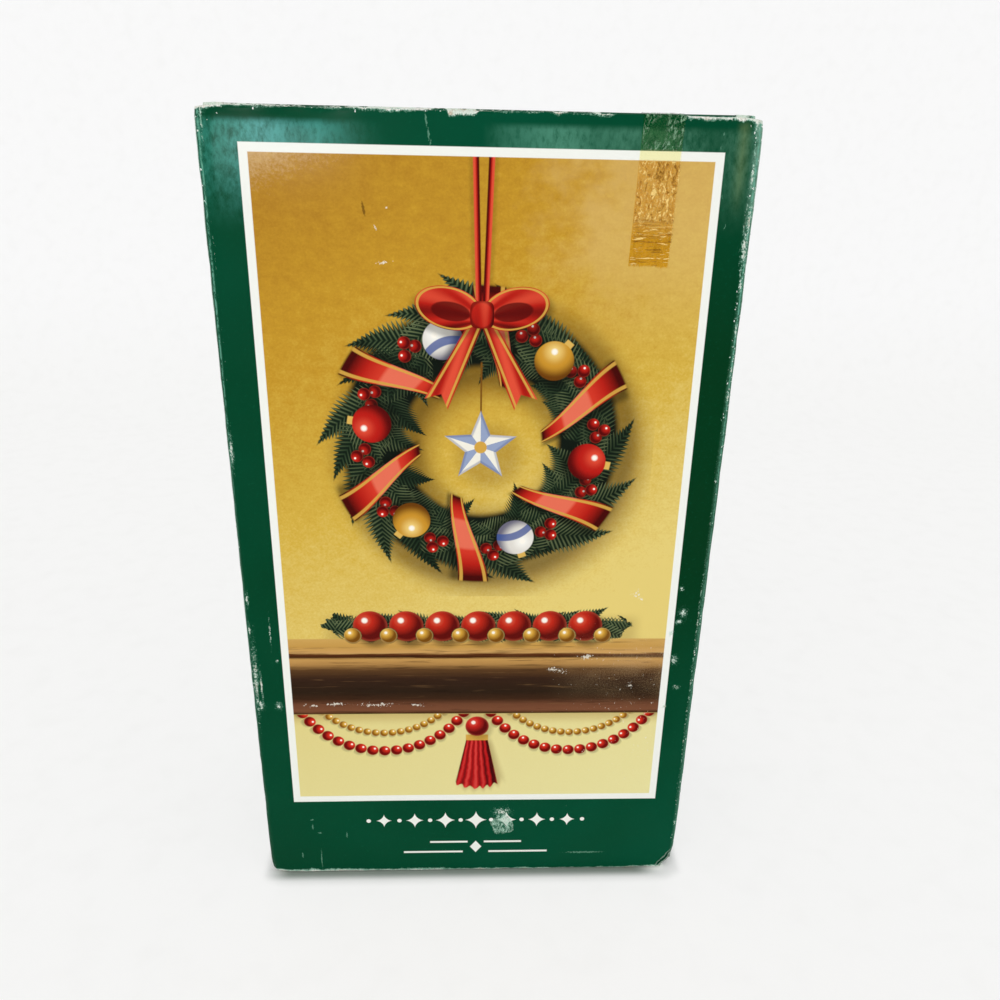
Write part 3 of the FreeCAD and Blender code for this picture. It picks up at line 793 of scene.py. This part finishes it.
# Wreath field: four rows of sprigs lap each other round a ring, lit from the upper left.
RING = 37.0
RING_HALF = 14.5
field, picture = start_picture("picture_wreath")
page, page_x, page_z, _ = field[2:]
from_wreath = page.seen_from(WREATH)
wreath_x, wreath_z = from_wreath.parts()
turn = wreath_z.math("ARCTAN2", wreath_x)
along = turn * RING
ring_distance = from_wreath.length()
across = ring_distance - RING
cast = page.from_place((WREATH[0] + 4, WREATH[1] - 4.5)) - RING
picture = picture.painted(
    ((112, 74, 20), abs(cast).rise(22, 10) * 0.6), (FIR_DARK, across.within(RING_HALF * 0.72, 1.5))
)
for count, lean, root, length, width, seed in (
    (19, 40, 2.0, 23, 6.6, 11), (15, -38, -2.0, 20, 6.4, 37), (21, 14, -3.0, 20, 5.4, 61),
    (17, -16, 4.0, 18, 5.2, 83),
):
    pitch = 2 * math.pi * RING / count
    picture = sprig_row(picture, along, across, pitch, count, lean, root, length, width, seed)
lit_side = (turn - math.radians(130)).math("COSINE") * across / RING_HALF
picture = picture.under(SHADE, lit_side.rise(1.1, -1.2) * across.within(16.5, 3) * 0.42)

# A red ribbon with gilt edges is wound six times round the wreath.
_, ribbon_turn = (turn - math.radians(22)).nearest(math.radians(60))
ribbon_along = ribbon_turn * RING - across * 0.42 + across * across * 0.012
tube = across / (RING_HALF + 1.6)
light = 1 - tube * tube + (tube * 3 + 1).math("COSINE") * 0.22
ribbon = light.colours(
    (0.05, (70, 8, 6)), (0.5, RIBBON_RED), (0.92, (214, 58, 40)), (1.0, (232, 112, 86))
)
ribbon = ribbon.under(GILT, (abs(ribbon_along) - 3.1).within(0.45, 0.15) * 0.9)
picture = picture.painted(
    (SHADE, (ribbon_along + 1.0).within(5.2, 1.2) * tube.within(0.98, 0.08) * 0.6),
    (ribbon, ribbon_along.within(3.9) * tube.within(0.99, 0.03)),
)


def ring_seat(turn, ring_distance, step, offset, radius):
    """The page seen from the nearest of the seats spaced round the wreath, and its number."""
    number, local = (turn - math.radians(offset)).nearest(math.radians(step))
    sideways = local.math("SINE") * ring_distance * -1
    return sideways.with_height(local.math("COSINE") * ring_distance - radius), number


# Holly berries in threes, and six baubles: gold, pearl with a blue band, and red.
for sideways, outward in ((-2.3, 4.0), (2.4, 4.6), (0.2, 7.6)):
    seat, _ = ring_seat(turn, ring_distance, 30, 7, RING + outward - 2)
    seat = seat.seen_from((sideways, 0))
    picture = ball(picture, seat, 2.1, (90, 8, 8), (182, 28, 20), (224, 70, 48), 0.6)
BAUBLE = 6.6
seat, number = ring_seat(turn, ring_distance, 60, 50, RING + 0.5)
seat_x, seat_y = seat.parts()
kind = number.math("FLOORED_MODULO", 3) / 3 + 0.1
dark, middle, light = [
    kind.colours((0, gold), (0.34, pearl), (0.67, red), steps="CONSTANT")
    for gold, pearl, red in (
        ((108, 62, 12), (108, 106, 124), (88, 8, 8)),
        ((204, 148, 46), (224, 220, 212), (188, 30, 22)),
        ((244, 212, 126), (250, 248, 240), (230, 82, 58)),
    )
]
lit = seat.from_place((-0.3 * BAUBLE, 0.36 * BAUBLE))
band = (seat_y + seat_x * seat_x * 0.045 + 0.6).within(1.4) * (kind - 0.43).within(0.1, 0.02)
body = middle.painted(
    (light, lit.rise(BAUBLE * 0.75, 0)),
    (dark, lit.rise(BAUBLE * 0.7, BAUBLE * 1.35)),
    ((58, 84, 150), band * 0.85),
    (WHITE_LIGHT, lit.rise(BAUBLE * 0.22, BAUBLE * 0.08)),
)
picture = picture.painted(
    (SHADE, seat.from_place((1.4, -1.6)).rise(BAUBLE * 1.35, BAUBLE * 0.8) * 0.65),
    ((222, 180, 90), seat_x.within(1.4) * (seat_y - BAUBLE - 0.6).within(1.1)),
    (body, seat.length().below(BAUBLE)),
)

# A folded paper star, pearl and blue, hangs on a thread in the wreath.
STAR = 13.0
STAR_WAIST = 5.6
wedge = math.pi / 5
star_place = page.seen_from((WREATH[0], WREATH[1] - 1.5), -18)
star_x, star_z = star_place.parts()
star_turn = star_z.math("ARCTAN2", star_x) + math.pi
fold_turn = star_turn.math("PINGPONG", wedge)
star_distance = star_place.length()
waist_x, waist_y = STAR_WAIST * math.cos(wedge), STAR_WAIST * math.sin(wedge)
run = math.hypot(STAR - waist_x, waist_y)
star_edge = (fold_turn.math("COSINE") * star_distance - STAR) * (waist_y / run)
star_edge = star_edge + fold_turn.math("SINE") * star_distance * ((STAR - waist_x) / run)
facet = (star_turn / wedge).math("FLOOR").math("FLOORED_MODULO", 2)
paper = facet.colours((0, (244, 240, 226)), (0.5, (150, 164, 196)), steps="CONSTANT").painted(
    ((96, 108, 150), star_edge.rise(-1.1, -0.4) * 0.5), (GILT, star_distance.below(2.15, 0.15))
)
thread = (page_x - WREATH[0]).within(0.3, 0.15) * (page_z - WREATH[1] - 19).within(9, 0.5)
picture = picture.painted(
    ((120, 78, 24), thread),
    ((120, 80, 26), page.from_place((WREATH[0] + 3, WREATH[1] - 5)).rise(15, 7) * 0.35),
    (paper, star_edge.below(0, 0.15)),
)

# The bow: two loops, a knot and two tails of the same ribbon.
bow_x, bow_z = page.seen_from(BOW_PLACE).parts()
bow_side = abs(bow_x)
half_bow = bow_side.with_height(bow_z)
tail_x, tail_z = half_bow.seen_from((2, -2), -64).parts()
tail_edge = abs(tail_z) - 2.2 - tail_x * 0.07
tail = tail_edge.below(0) * (tail_x - abs(tail_z) * 0.9 - 26).below(0, 0.3) * tail_x.rise(-1, 0)
tail_light = (tail_z * 0.9 + tail_x * 0.12).math("SINE") * 0.3 + 0.5 + tail_x * 0.008
tail_colour = tail_light.colours(*RIBBON_STOPS)
tail_colour = tail_colour.under(GILT, (tail_edge + 0.9).within(0.4, 0.15) * 0.9)
cast_x, cast_z = half_bow.seen_from((3.2, -3.6), -64).parts()
tail_cast = abs(cast_z).rise(5.5, 2.5) * cast_x.rise(0, 5) * cast_x.rise(28, 24)
loop_place = half_bow.seen_from((10.8, 3.0), 14, (11.2, 6.8))
loop_distance = loop_place.length()
pleats = ((bow_z + 1).math("ARCTAN2", bow_side + 1.5) * 15 + bow_side * 0.12).math("SINE")
loop_light = 0.52 + pleats * 0.2 + loop_place.parts()[1] * 0.25
hollow = half_bow.seen_from((10.2, 2.0), 10, (6.6, 3.1)).length()
loop = loop_light.colours(*RIBBON_STOPS).painted(
    (RIBBON_DARK, hollow.rise(1.05, 0.9) * 0.85),
    (GILT, (loop_distance - 0.93).within(0.04, 0.012) * 0.9),
)
loop_cast = half_bow.seen_from((11.6, 1.2), 14, (11.8, 7.4)).length()
knot_place = page.seen_from((BOW_PLACE[0], BOW_PLACE[1] + 1), 0, (3.9, 4.4))
knot_x, knot_z = knot_place.parts()
knot_light = 0.62 - knot_x * knot_x * 0.4 + (knot_x * 5).math("SINE") * 0.12 + knot_z * 0.12
knot = knot_light.colours(*RIBBON_STOPS).under((30, 4, 4), knot_place.length().rise(0.8, 1.0) * 0.5)
picture = hung(picture, page_x, page_z).painted(
    (SHADE, tail_cast * 0.45),
    (tail_colour, tail),
    (SHADE, loop_cast.rise(1.15, 0.85) * 0.45),
    (loop, loop_distance.below(1, 0.02)),
    (knot, (knot_x ** 4 + knot_z ** 4).rise(1.05, 0.92)),
)
finish_picture(field, picture, in_wreath_field)

# Shelf field: a dark moulded shelf and the pale wall under it.
SHELF_FOOT = 80.0
field, picture = start_picture("picture_shelf")
page, page_x, page_z, weave = field[2:]
middle_x = page_x - PICTURE[0]
right = middle_x / (2 * PICTURE_HALF[0]) + 0.5
wood = page.grain(1.3, 3, 0.6, stretch=(16, 1, 1), seed=3, distortion=0.4)
shelf_share = (page_z - SHELF_FOOT) / (SHELF_TOP - SHELF_FOOT)
shelf = (shelf_share + (wood - 0.5) * 0.05).colours(
    (0.0, (52, 34, 10)), (0.05, (122, 76, 52)), (0.13, (110, 68, 46)), (0.2, (62, 38, 22)),
    (0.3, (44, 30, 18)), (0.48, (54, 34, 22)), (0.6, (92, 62, 34)), (0.67, (176, 132, 74)),
    (0.735, (196, 150, 84)), (0.76, (60, 30, 10)), (0.8, (92, 50, 22)), (0.82, (206, 160, 96)),
    (0.9, (198, 152, 76)), (1.0, (206, 164, 90)),
).painted(
    ((30, 16, 8), wood.rise(0.46, 0.28) * 0.5), ((206, 158, 100), wood.rise(0.6, 0.85) * 0.2)
)
wall = (right * 0.5 + weave * 0.25 + (SHELF_FOOT - page_z) * 0.008).colours(
    (0.0, (224, 208, 134)), (1.0, (236, 228, 166))
)
wall = wall.under((176, 144, 76), page_z.rise(SHELF_FOOT - 6, SHELF_FOOT) * 0.5)

# A low fir garland on the shelf, and a row of red balls with gold ones before it.
ROW_PITCH = 13.4
garland_cast = middle_x.rise(63, 56) * middle_x.rise(-60, -53)
garland_cast = garland_cast * (page_z - SHELF_TOP - 2).within(7, 3)
picture = picture.painted((wall, page_z.below(SHELF_FOOT)), ((112, 76, 24), garland_cast * 0.3))
along = middle_x + 200
low = page_z - SHELF_TOP - 3.4
fir = picture
for start, pitch, lean, root, length, width, seed in (
    (along, 9.7, 20, 0.5, 18, 5.0, 15),
    (400 - along, 8.3, 24, 0.0, 17, 4.6, 45),
    (along, 11.1, -6, -0.5, 16, 4.0, 75),
):
    fir = sprig_row(fir, start, low, pitch, 90, lean, root, length, width, seed)
ragged_end = abs(middle_x) + abs(low - 2.5) * 1.1 + page.grain(2.4, 2, 0.6, seed=38) * 7
drape = (page_z - SHELF_TOP + 1.0 + (middle_x * 0.9).math("SINE") * 0.8).rise(-0.5, 0.9)
picture = picture.painted(
    (fir, ragged_end.rise(62, 61.4)),
    (shelf, (1 - page_z.below(SHELF_FOOT)) * page_z.below(SHELF_TOP)),
    (fir, drape * page_z.rise(SHELF_TOP + 1, SHELF_TOP) * middle_x.within(50, 2)),
)
_, row_x = middle_x.nearest(ROW_PITCH, 3)
gold_x = row_x - row_x.math("SIGN") * (ROW_PITCH / 2)
gold_seat = gold_x.with_height(page_z - SHELF_TOP - 1.4)
gold_row = ball(picture, gold_seat, 3.2, (120, 74, 16), (212, 160, 60), (248, 222, 144), 0.6)
row_seat = row_x.with_height(page_z - SHELF_TOP - 5.4)
picture = ball(picture, row_seat, 6.4, (96, 14, 10), (192, 42, 26), (226, 98, 70), 0.6)
picture = picture.under(gold_row, gold_seat.length().rise(3.6, 3.2) * middle_x.within(51, 0.5))

# Beads hang in swags from the shelf on each side of a red tassel.
swag = abs(middle_x).with_height(page_z)
for centre, swag_radius, bead, dark, middle, light in (
    ((36.5, 98.5), 36.0, 2.3, (110, 10, 8), (206, 40, 26), (236, 96, 66)),
    ((36.5, 103.0), 32.0, 1.6, (140, 88, 20), (214, 162, 60), (250, 226, 150)),
):
    swag_place = swag.seen_from(centre)
    swag_x, swag_z = swag_place.parts()
    _, local = swag_x.math("ARCTAN2", swag_z * -1).nearest(bead * 2.05 / swag_radius)
    swag_distance = swag_place.length()
    sideways = local.math("SINE") * swag_distance
    seat = sideways.with_height(swag_radius - local.math("COSINE") * swag_distance)
    beads = ball(picture, seat, bead, dark, middle, light, 0.35)
    picture = picture.under(beads, page_z.rise(SHELF_FOOT + 0.1, SHELF_FOOT - 0.3))

TASSEL_TOP = 77.0
TASSEL_FOOT = 44.0
tassel_share = middle_x / (4.2 + (TASSEL_TOP - 9 - page_z) * 0.2)
strand = (tassel_share * 17 + page.grain(7, 2, seed=31) * 6).math("SINE")
tassel_light = 0.5 + strand * 0.24 - tassel_share * tassel_share * 0.32 - tassel_share * 0.12
tassel = tassel_light.colours((0.05, (70, 6, 8)), (0.5, (190, 26, 28)), (0.95, (236, 84, 76)))
foot = page_z - TASSEL_FOOT + strand * 0.7 - tassel_share * tassel_share * 2.4
skirt = foot.rise(-0.4, 0.4) * page_z.rise(TASSEL_TOP - 8, TASSEL_TOP - 9)
cast = (tassel_share - 0.25).within(1.05, 0.3) * foot.rise(-3, 2)
picture = picture.painted(
    ((140, 110, 54), cast * page_z.rise(TASSEL_TOP - 6, TASSEL_TOP - 12) * 0.5),
    (tassel, tassel_share.within(1.0, 0.04) * skirt),
    (GILT, middle_x.within(4.4) * (page_z - TASSEL_TOP + 8.3).within(1.35, 0.15)),
)
tassel_head = page.seen_from((PICTURE[0], TASSEL_TOP - 3))
picture = ball(picture, tassel_head, 4.6, (96, 10, 10), (196, 36, 30), (232, 96, 76), 0.3)

# Pale dust has gathered on the shelf's right half.
dust = page_x.rise(20, 70) * (page_z - 101).within(12, 9)
dust = dust * (page.grain(0.5, 3, 0.9, seed=29) * 2 + page.grain(14, 1, seed=27)).rise(1.2, 2.0)
finish_picture(field, picture.under((206, 172, 124), dust * 0.4), in_shelf_field)
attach(carton, "root")
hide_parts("carton")


# Frayed board: where the folds are worn through, small flakes of the paper liner stand off them.
# They are strewn over the worn faces of the folds, thickest at the corners and along the lid.
FLAKES_PER_MM2 = 0.34
FLAKE_LENGTH = 1.0
FLAKE_WIDTH = 0.55
FLAKE_THICKNESS = 0.08


def fray(centre):
    """How thickly flakes lie at a place on the carton, from 0 to 1."""
    x, y, z = centre
    from_corner = math.hypot(HALF_WIDTH - abs(x), min(HEIGHT - z, z), HALF_DEPTH - abs(y))
    share = max(0.0, 1 - from_corner / 9) * (1.0 if z > 100 else 0.5)
    if y > -HALF_DEPTH + FOLD_REACH:
        on_fold = abs(x) > HALF_WIDTH - FOLD_REACH or z > HEIGHT - FOLD_REACH
        return 0.5 * share if on_fold else 0.0
    if z > HEIGHT - 1.5 and not TAPE_TOP_X - 8 < x < TAPE_TOP_X + 7:
        share += 0.5 if x < -2 or x > 62 else 0.14
    if x > HALF_WIDTH - 3.0:
        share += 0.55 if z > 200 else 0.2
    if x < -HALF_WIDTH + 1.6:
        share += 0.14 if z > 240 or 83 < z < 108 else 0.04
    if z < 1.6:
        share += 0.3 if x < 0 else 0.16
    return min(1.0, share * patchy(x, y, z, 4, 37) * 1.8)


worn_faces = bpy.data.meshes.new("worn_folds")
thickness = []
corners = []
panels = []
for polygon in board_mesh.polygons:
    share = fray(polygon.center / MM)
    if share > 0.02:
        first = len(corners)
        corners += [board_mesh.vertices[index].co[:] for index in polygon.vertices]
        panels.append(list(range(first, len(corners))))
        thickness.append(share)
worn_faces.from_pydata(corners, [], panels)
worn_faces.attributes.new("fray", "FLOAT", "FACE").data.foreach_set("value", thickness)
flakes = in_scene("frayed_flakes", worn_faces)

flake_material, place, _ = start_material("paper_flake")
flake_tone = place.grain(1.2, 2, 0.7, seed=91).colours(
    (0.3, (104, 158, 134)), (0.45, (200, 222, 208)), (0.6, (244, 246, 242))
)
finish_material(place.node("BsdfPrincipled", {}, {
    "Base Color": flake_tone, "Roughness": 0.85, "Specular IOR Level": 0.2,
}))

flake_tree = bpy.data.node_groups.new("strewn_flakes", "GeometryNodeTree")
for label, kind in (
    ("Worn folds", "Geometry"), ("Per square metre", "Float"), ("Size", "Vector"), ("Seed", "Int"),
):
    flake_tree.interface.new_socket(label, in_out="INPUT", socket_type="NodeSocket" + kind)
flake_tree.interface.new_socket("Flakes", in_out="OUTPUT", socket_type="NodeSocketGeometry")
folds = Value(flake_tree.nodes.new("NodeGroupInput").outputs["Worn folds"])
size, seed = folds.beside("Size"), folds.beside("Seed")
share = folds.node("GeometryNodeInputNamedAttribute", {"data_type": "FLOAT"}, {"Name": "fray"})
seats = folds.node("GeometryNodeDistributePointsOnFaces", {"distribute_method": "RANDOM"}, {
    "Mesh": folds, "Density": share * folds.beside("Per square metre"), "Seed": seed,
})
sway = folds.node("FunctionNodeRandomValue", {"data_type": "FLOAT_VECTOR"}, {
    0: (-0.35, -0.35, -0.35), 1: (0.35, 0.35, 0.35), "Seed": seed,
})
growth = folds.node("FunctionNodeRandomValue", {"data_type": "FLOAT_VECTOR"}, {
    0: (0.25, 0.3, 0.5), 1: (1.2, 1.1, 1.0), "Seed": seed,
})
upright = folds.node("FunctionNodeAlignRotationToVector", {"axis": "Z"}, {
    "Vector": seats.beside("Normal").vector("ADD", sway),
})
one_flake = folds.node("GeometryNodeMeshCone", {"fill_type": "NGON"}, {
    "Vertices": 5, "Side Segments": 1, "Fill Segments": 1, "Radius Top": 0.36, "Radius Bottom": 0.5,
    "Depth": 1.0,
})
strewn = folds.node("GeometryNodeInstanceOnPoints", {}, {
    "Points": seats, "Instance": one_flake, "Rotation": upright,
    "Scale": size.vector("MULTIPLY", growth),
})
made = folds.node("GeometryNodeRealizeInstances", {}, {"Geometry": strewn})
made = folds.node("GeometryNodeSetMaterial", {}, {"Geometry": made, "Material": flake_material})
flake_tree.links.new(flake_tree.nodes.new("NodeGroupOutput").inputs["Flakes"], made.socket)

strewing = flakes.modifiers.new("strewing", "NODES")
strewing.node_group = flake_tree
settings = {
    "Per square metre": FLAKES_PER_MM2 / MM ** 2, "Seed": 5,
    "Size": (FLAKE_WIDTH * MM, FLAKE_LENGTH * MM, FLAKE_THICKNESS * MM),
}
for socket in flake_tree.interface.items_tree:
    if socket.name in settings:
        strewing[socket.identifier] = settings[socket.name]
strewn_object = flakes.evaluated_get(bpy.context.evaluated_depsgraph_get())
flake_mesh = bpy.data.meshes.new_from_object(strewn_object)
flakes.modifiers.remove(strewing)
flakes.data = flake_mesh
for vertex in flake_mesh.vertices:
    limits = zip(vertex.co, carton_low, carton_high)
    vertex.co = [min(max(at, low), high) for at, low, high in limits]
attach(flakes, "root")


# The seal: one strip of clear tape over the lid's front edge and down the front, torn off by hand
# at both ends. It has yellowed, wrinkled and let go of the board in small blisters.
TAPE_CELL = 0.5
WRINKLE = 0.16
seal = copy_of_node("seal_tape")
seal_low, seal_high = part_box("seal_tape")
cut_into_cells(seal, [
    cut_places(seal_low[axis] / MM, seal_high[axis] / MM, TAPE_CELL, TAPE_CELL, 1)
    for axis in range(3)
])
for vertex in seal.verts:
    x_mm, y_mm, z_mm = vertex.co / MM
    blister = max(0.0, patchy(x_mm, y_mm, z_mm * 0.7, 2.6, 23) - 0.5) * 2
    ridge = max(0.0, patchy(x_mm * 0.25, y_mm, z_mm, 1.7, 29) - 0.6) * 2.5
    lift = WRINKLE * min(1.0, blister + ridge) * MM
    vertex.co += Vector((0, 0, lift) if z_mm > HEIGHT - 0.5 else (0, -lift, 0))
for face in seal.faces:
    face.smooth = True
tape = finished_piece("yellowed_tape", seal)

tape_material, place, _ = start_material("aged_tape")
tape_x, tape_y = place.parts()
tape_z = tape_x.beside("Z")
leaning = tape_x.with_height(tape_z - tape_y).seen_from((0, 0), -28)
flecks = leaning.grain(0.9, 3, 0.85, stretch=(0.8, 1.9, 1), seed=51)
cloud = place.grain(6.0, 2, 0.6, seed=55)
streaks = place.grain(2.7, 3, 0.65, stretch=(0.7, 1, 1.4), seed=59, distortion=0.9)
wrinkles = place.grain(2.4, 3, 0.7, stretch=(3.0, 1, 0.5), seed=57, distortion=0.4)
on_green = tape_z.rise(PICTURE_TOP + FRAME_LINE, PICTURE_TOP + FRAME_LINE + 0.6)
on_gold = tape_z.rise(PICTURE_TOP + 0.3, PICTURE_TOP - 0.5)
lower = tape_z.rise(DEEP_STAIN_TOP, DEEP_STAIN_TOP - 3)
milky = flecks.rise(0.5, 0.6) * cloud.rise(0.3, 0.62) * on_green
# Painted light on the wrinkles: pale marks are highlights; dark lines and bars are shade.
pale = (flecks.rise(0.52, 0.59) * streaks.rise(0.40, 0.54)).most(streaks.rise(0.58, 0.64))
pale = (pale * (1 - lower)).most(wrinkles.rise(0.58, 0.64) * lower)
dark_lines = (streaks.rise(0.46, 0.38) * flecks.rise(0.62, 0.5) * (1 - lower)).most(
    wrinkles.rise(0.45, 0.38) * lower
)
bar_height = tape_z + (cloud - 0.5) * 2.8 + (flecks - 0.5) * 1.2
for bar_z, half in ((263.6, 0.3), (261.6, 0.1), (259.4, 0.25)):
    bar = (bar_height - bar_z).within(half, 0.3) * streaks.rise(0.36, 0.5)
    dark_lines = dark_lines.most(bar * 0.7)
    pale = pale.most((bar_height - bar_z - half - 0.5).within(0.1, 0.3) * flecks.rise(0.4, 0.55))
pale, dark_lines = pale * on_gold, dark_lines * on_gold
film = flecks.colours((0.3, (226, 170, 50)), (0.6, (236, 186, 76))).painted(
    ((150, 98, 8), dark_lines),
    ((255, 222, 136), pale),
    ((250, 232, 170), 1 - on_gold),
    ((70, 112, 70), on_green),
    ((150, 196, 160), milky),
)
torn_end = tape_z.rise(TAPE_FOOT, TAPE_FOOT + 2.5)
film_alpha = 0.03 + milky * 0.5 + pale * 0.75 + dark_lines * 0.32 + on_green * 0.02
film_alpha = film_alpha * (torn_end * 0.6 + 0.4)
film_height = flecks * 0.05 + cloud * 0.3 + wrinkles * lower * 0.15 + streaks * 0.08
film_bump = film_height.node("Bump", {}, {"Strength": 0.6, "Distance": MM, "Height": film_height})
finish_material(flecks.node("BsdfPrincipled", {}, {
    "Base Color": film, "Roughness": 0.36 + cloud * 0.2, "Specular IOR Level": 0.12,
    "Coat Weight": 0.04, "Coat Roughness": 0.15, "Alpha": film_alpha, "Normal": film_bump,
}))
tape.data.materials.append(tape_material)
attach(tape, "root")
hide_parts("seal_tape")


# Stage: a white table with a wall behind it, both paler to the camera than to the carton, and a
# painted contact shadow on the table before the carton's foot.
TABLE_BACK = 0.62
SWEEP_BEND = 0.12
profile = [(-3.0, 0.0), (TABLE_BACK, 0.0)]
for turn_back in (math.radians(step) for step in range(10, 91, 10)):
    rise_m = SWEEP_BEND * (1 - math.cos(turn_back))
    profile.append((TABLE_BACK + SWEEP_BEND * math.sin(turn_back), rise_m))
profile.append((TABLE_BACK + SWEEP_BEND, 3.0))
sweep = bmesh.new()
left, right_edge = [[sweep.verts.new((side, *point)) for point in profile] for side in (-3.5, 3.5)]
for index in range(len(profile) - 1):
    quad = (left[index], right_edge[index], right_edge[index + 1], left[index + 1])
    sweep.faces.new(quad).smooth = True
backdrop = finished_piece("studio_sweep", sweep)
sweep_material, place, _ = start_material("white_sweep")
paper_tone = place.parts()[0].beside("Z").rise(0, 160).colours(
    (0, (249, 249, 248)), (1, (252, 252, 252))
)
paper_tone = paper_tone.under((238, 238, 236), place.grain(14, 2, seed=3).rise(0.4, 0.9) * 0.2)
table_x, table_y = place.parts()
past_side = abs(table_x) - HALF_WIDTH
from_foot = past_side.most(0).with_height((abs(table_y) - HALF_DEPTH).most(0)).length()
# Painted shadow: the table is darker just before the carton's front foot.
before_front = table_y * -1 - HALF_DEPTH
contact_shadow = before_front.rise(4.4, 0.0) * before_front.rise(-4, -2)
contact_shadow = contact_shadow * abs(table_x + 4).rise(HALF_WIDTH - 1, HALF_WIDTH - 14)
paper_tone = paper_tone.under((120, 132, 122), contact_shadow * 0.88)
seen = place.node("LightPath", {}, {}, "Is Camera Ray")
seen = seen.most(seen.beside("Is Glossy Ray")).most(seen.beside("Is Transmission Ray"))
matte = place.node("BsdfDiffuse", {}, {"Color": paper_tone})
glowing = place.node("Emission", {}, {"Color": paper_tone, "Strength": 1.0})
lit_share = (from_foot + past_side.rise(-6, 5) * 4).rise(0.5, 8) * 0.76 + 0.06
finish_material(place.node("MixShader", {}, {0: seen * lit_share, 1: matte, 2: glowing}))
backdrop.data.materials.append(sweep_material)

world = bpy.data.worlds.new("soft_room")
bpy.context.scene.world = world
world.use_nodes = True
world.node_tree.nodes.clear()
path = world.node_tree.nodes.new("ShaderNodeLightPath")
seen = Value(path.outputs["Is Camera Ray"])
room_light = seen.node("Background", {}, {"Color": (1, 1, 1, 1), "Strength": 0.74})
white_seen = seen.node("Background", {}, {"Color": (0.95, 0.95, 0.95, 1), "Strength": 1.0})
room = seen.node("MixShader", {}, {0: seen, 1: room_light, 2: white_seen})
room.node("OutputWorld", {}, {"Surface": room})


def soft_lamp(name, place, target, size, power):
    """A rectangular soft lamp aimed at a point."""
    data = bpy.data.lights.new(name, "AREA")
    data.shape = "RECTANGLE"
    data.size, data.size_y = size
    data.energy = power
    lamp = in_scene(name, data)
    lamp.location = place
    lamp.rotation_euler = (Vector(target) - Vector(place)).to_track_quat("-Z", "Y").to_euler()


soft_lamp("key_lamp", (-0.8, -1.1, 1.5), (0, 0, 0.15), (1.1, 0.8), 4.0)
soft_lamp("fill_lamp", (1.3, -0.9, 1.0), (0, 0, 0.15), (0.8, 0.8), 1.8)
soft_lamp("window_lamp", (-0.28, -1.15, 0.3135), (-0.06, 0, 0.284), (0.2, 0.08), 1.6)

CAMERA_PLACE = Vector((-0.0050, -0.32025, 0.2773))
camera_right = Vector((0.99908, -0.03774, 0.02024))
camera_up = Vector((-0.0051, 0.36431, 0.93126))
camera_data = bpy.data.cameras.new("camera")
camera_data.sensor_width = 36
camera_data.lens = 30.23
camera_data.clip_start = 0.01
camera = in_scene("camera", camera_data)
axes = Matrix((camera_right, camera_up, camera_right.cross(camera_up))).transposed()
camera.matrix_world = Matrix.Translation(CAMERA_PLACE) @ axes.to_4x4()
bpy.context.scene.camera = camera
bpy.context.scene.view_settings.view_transform = "Standard"
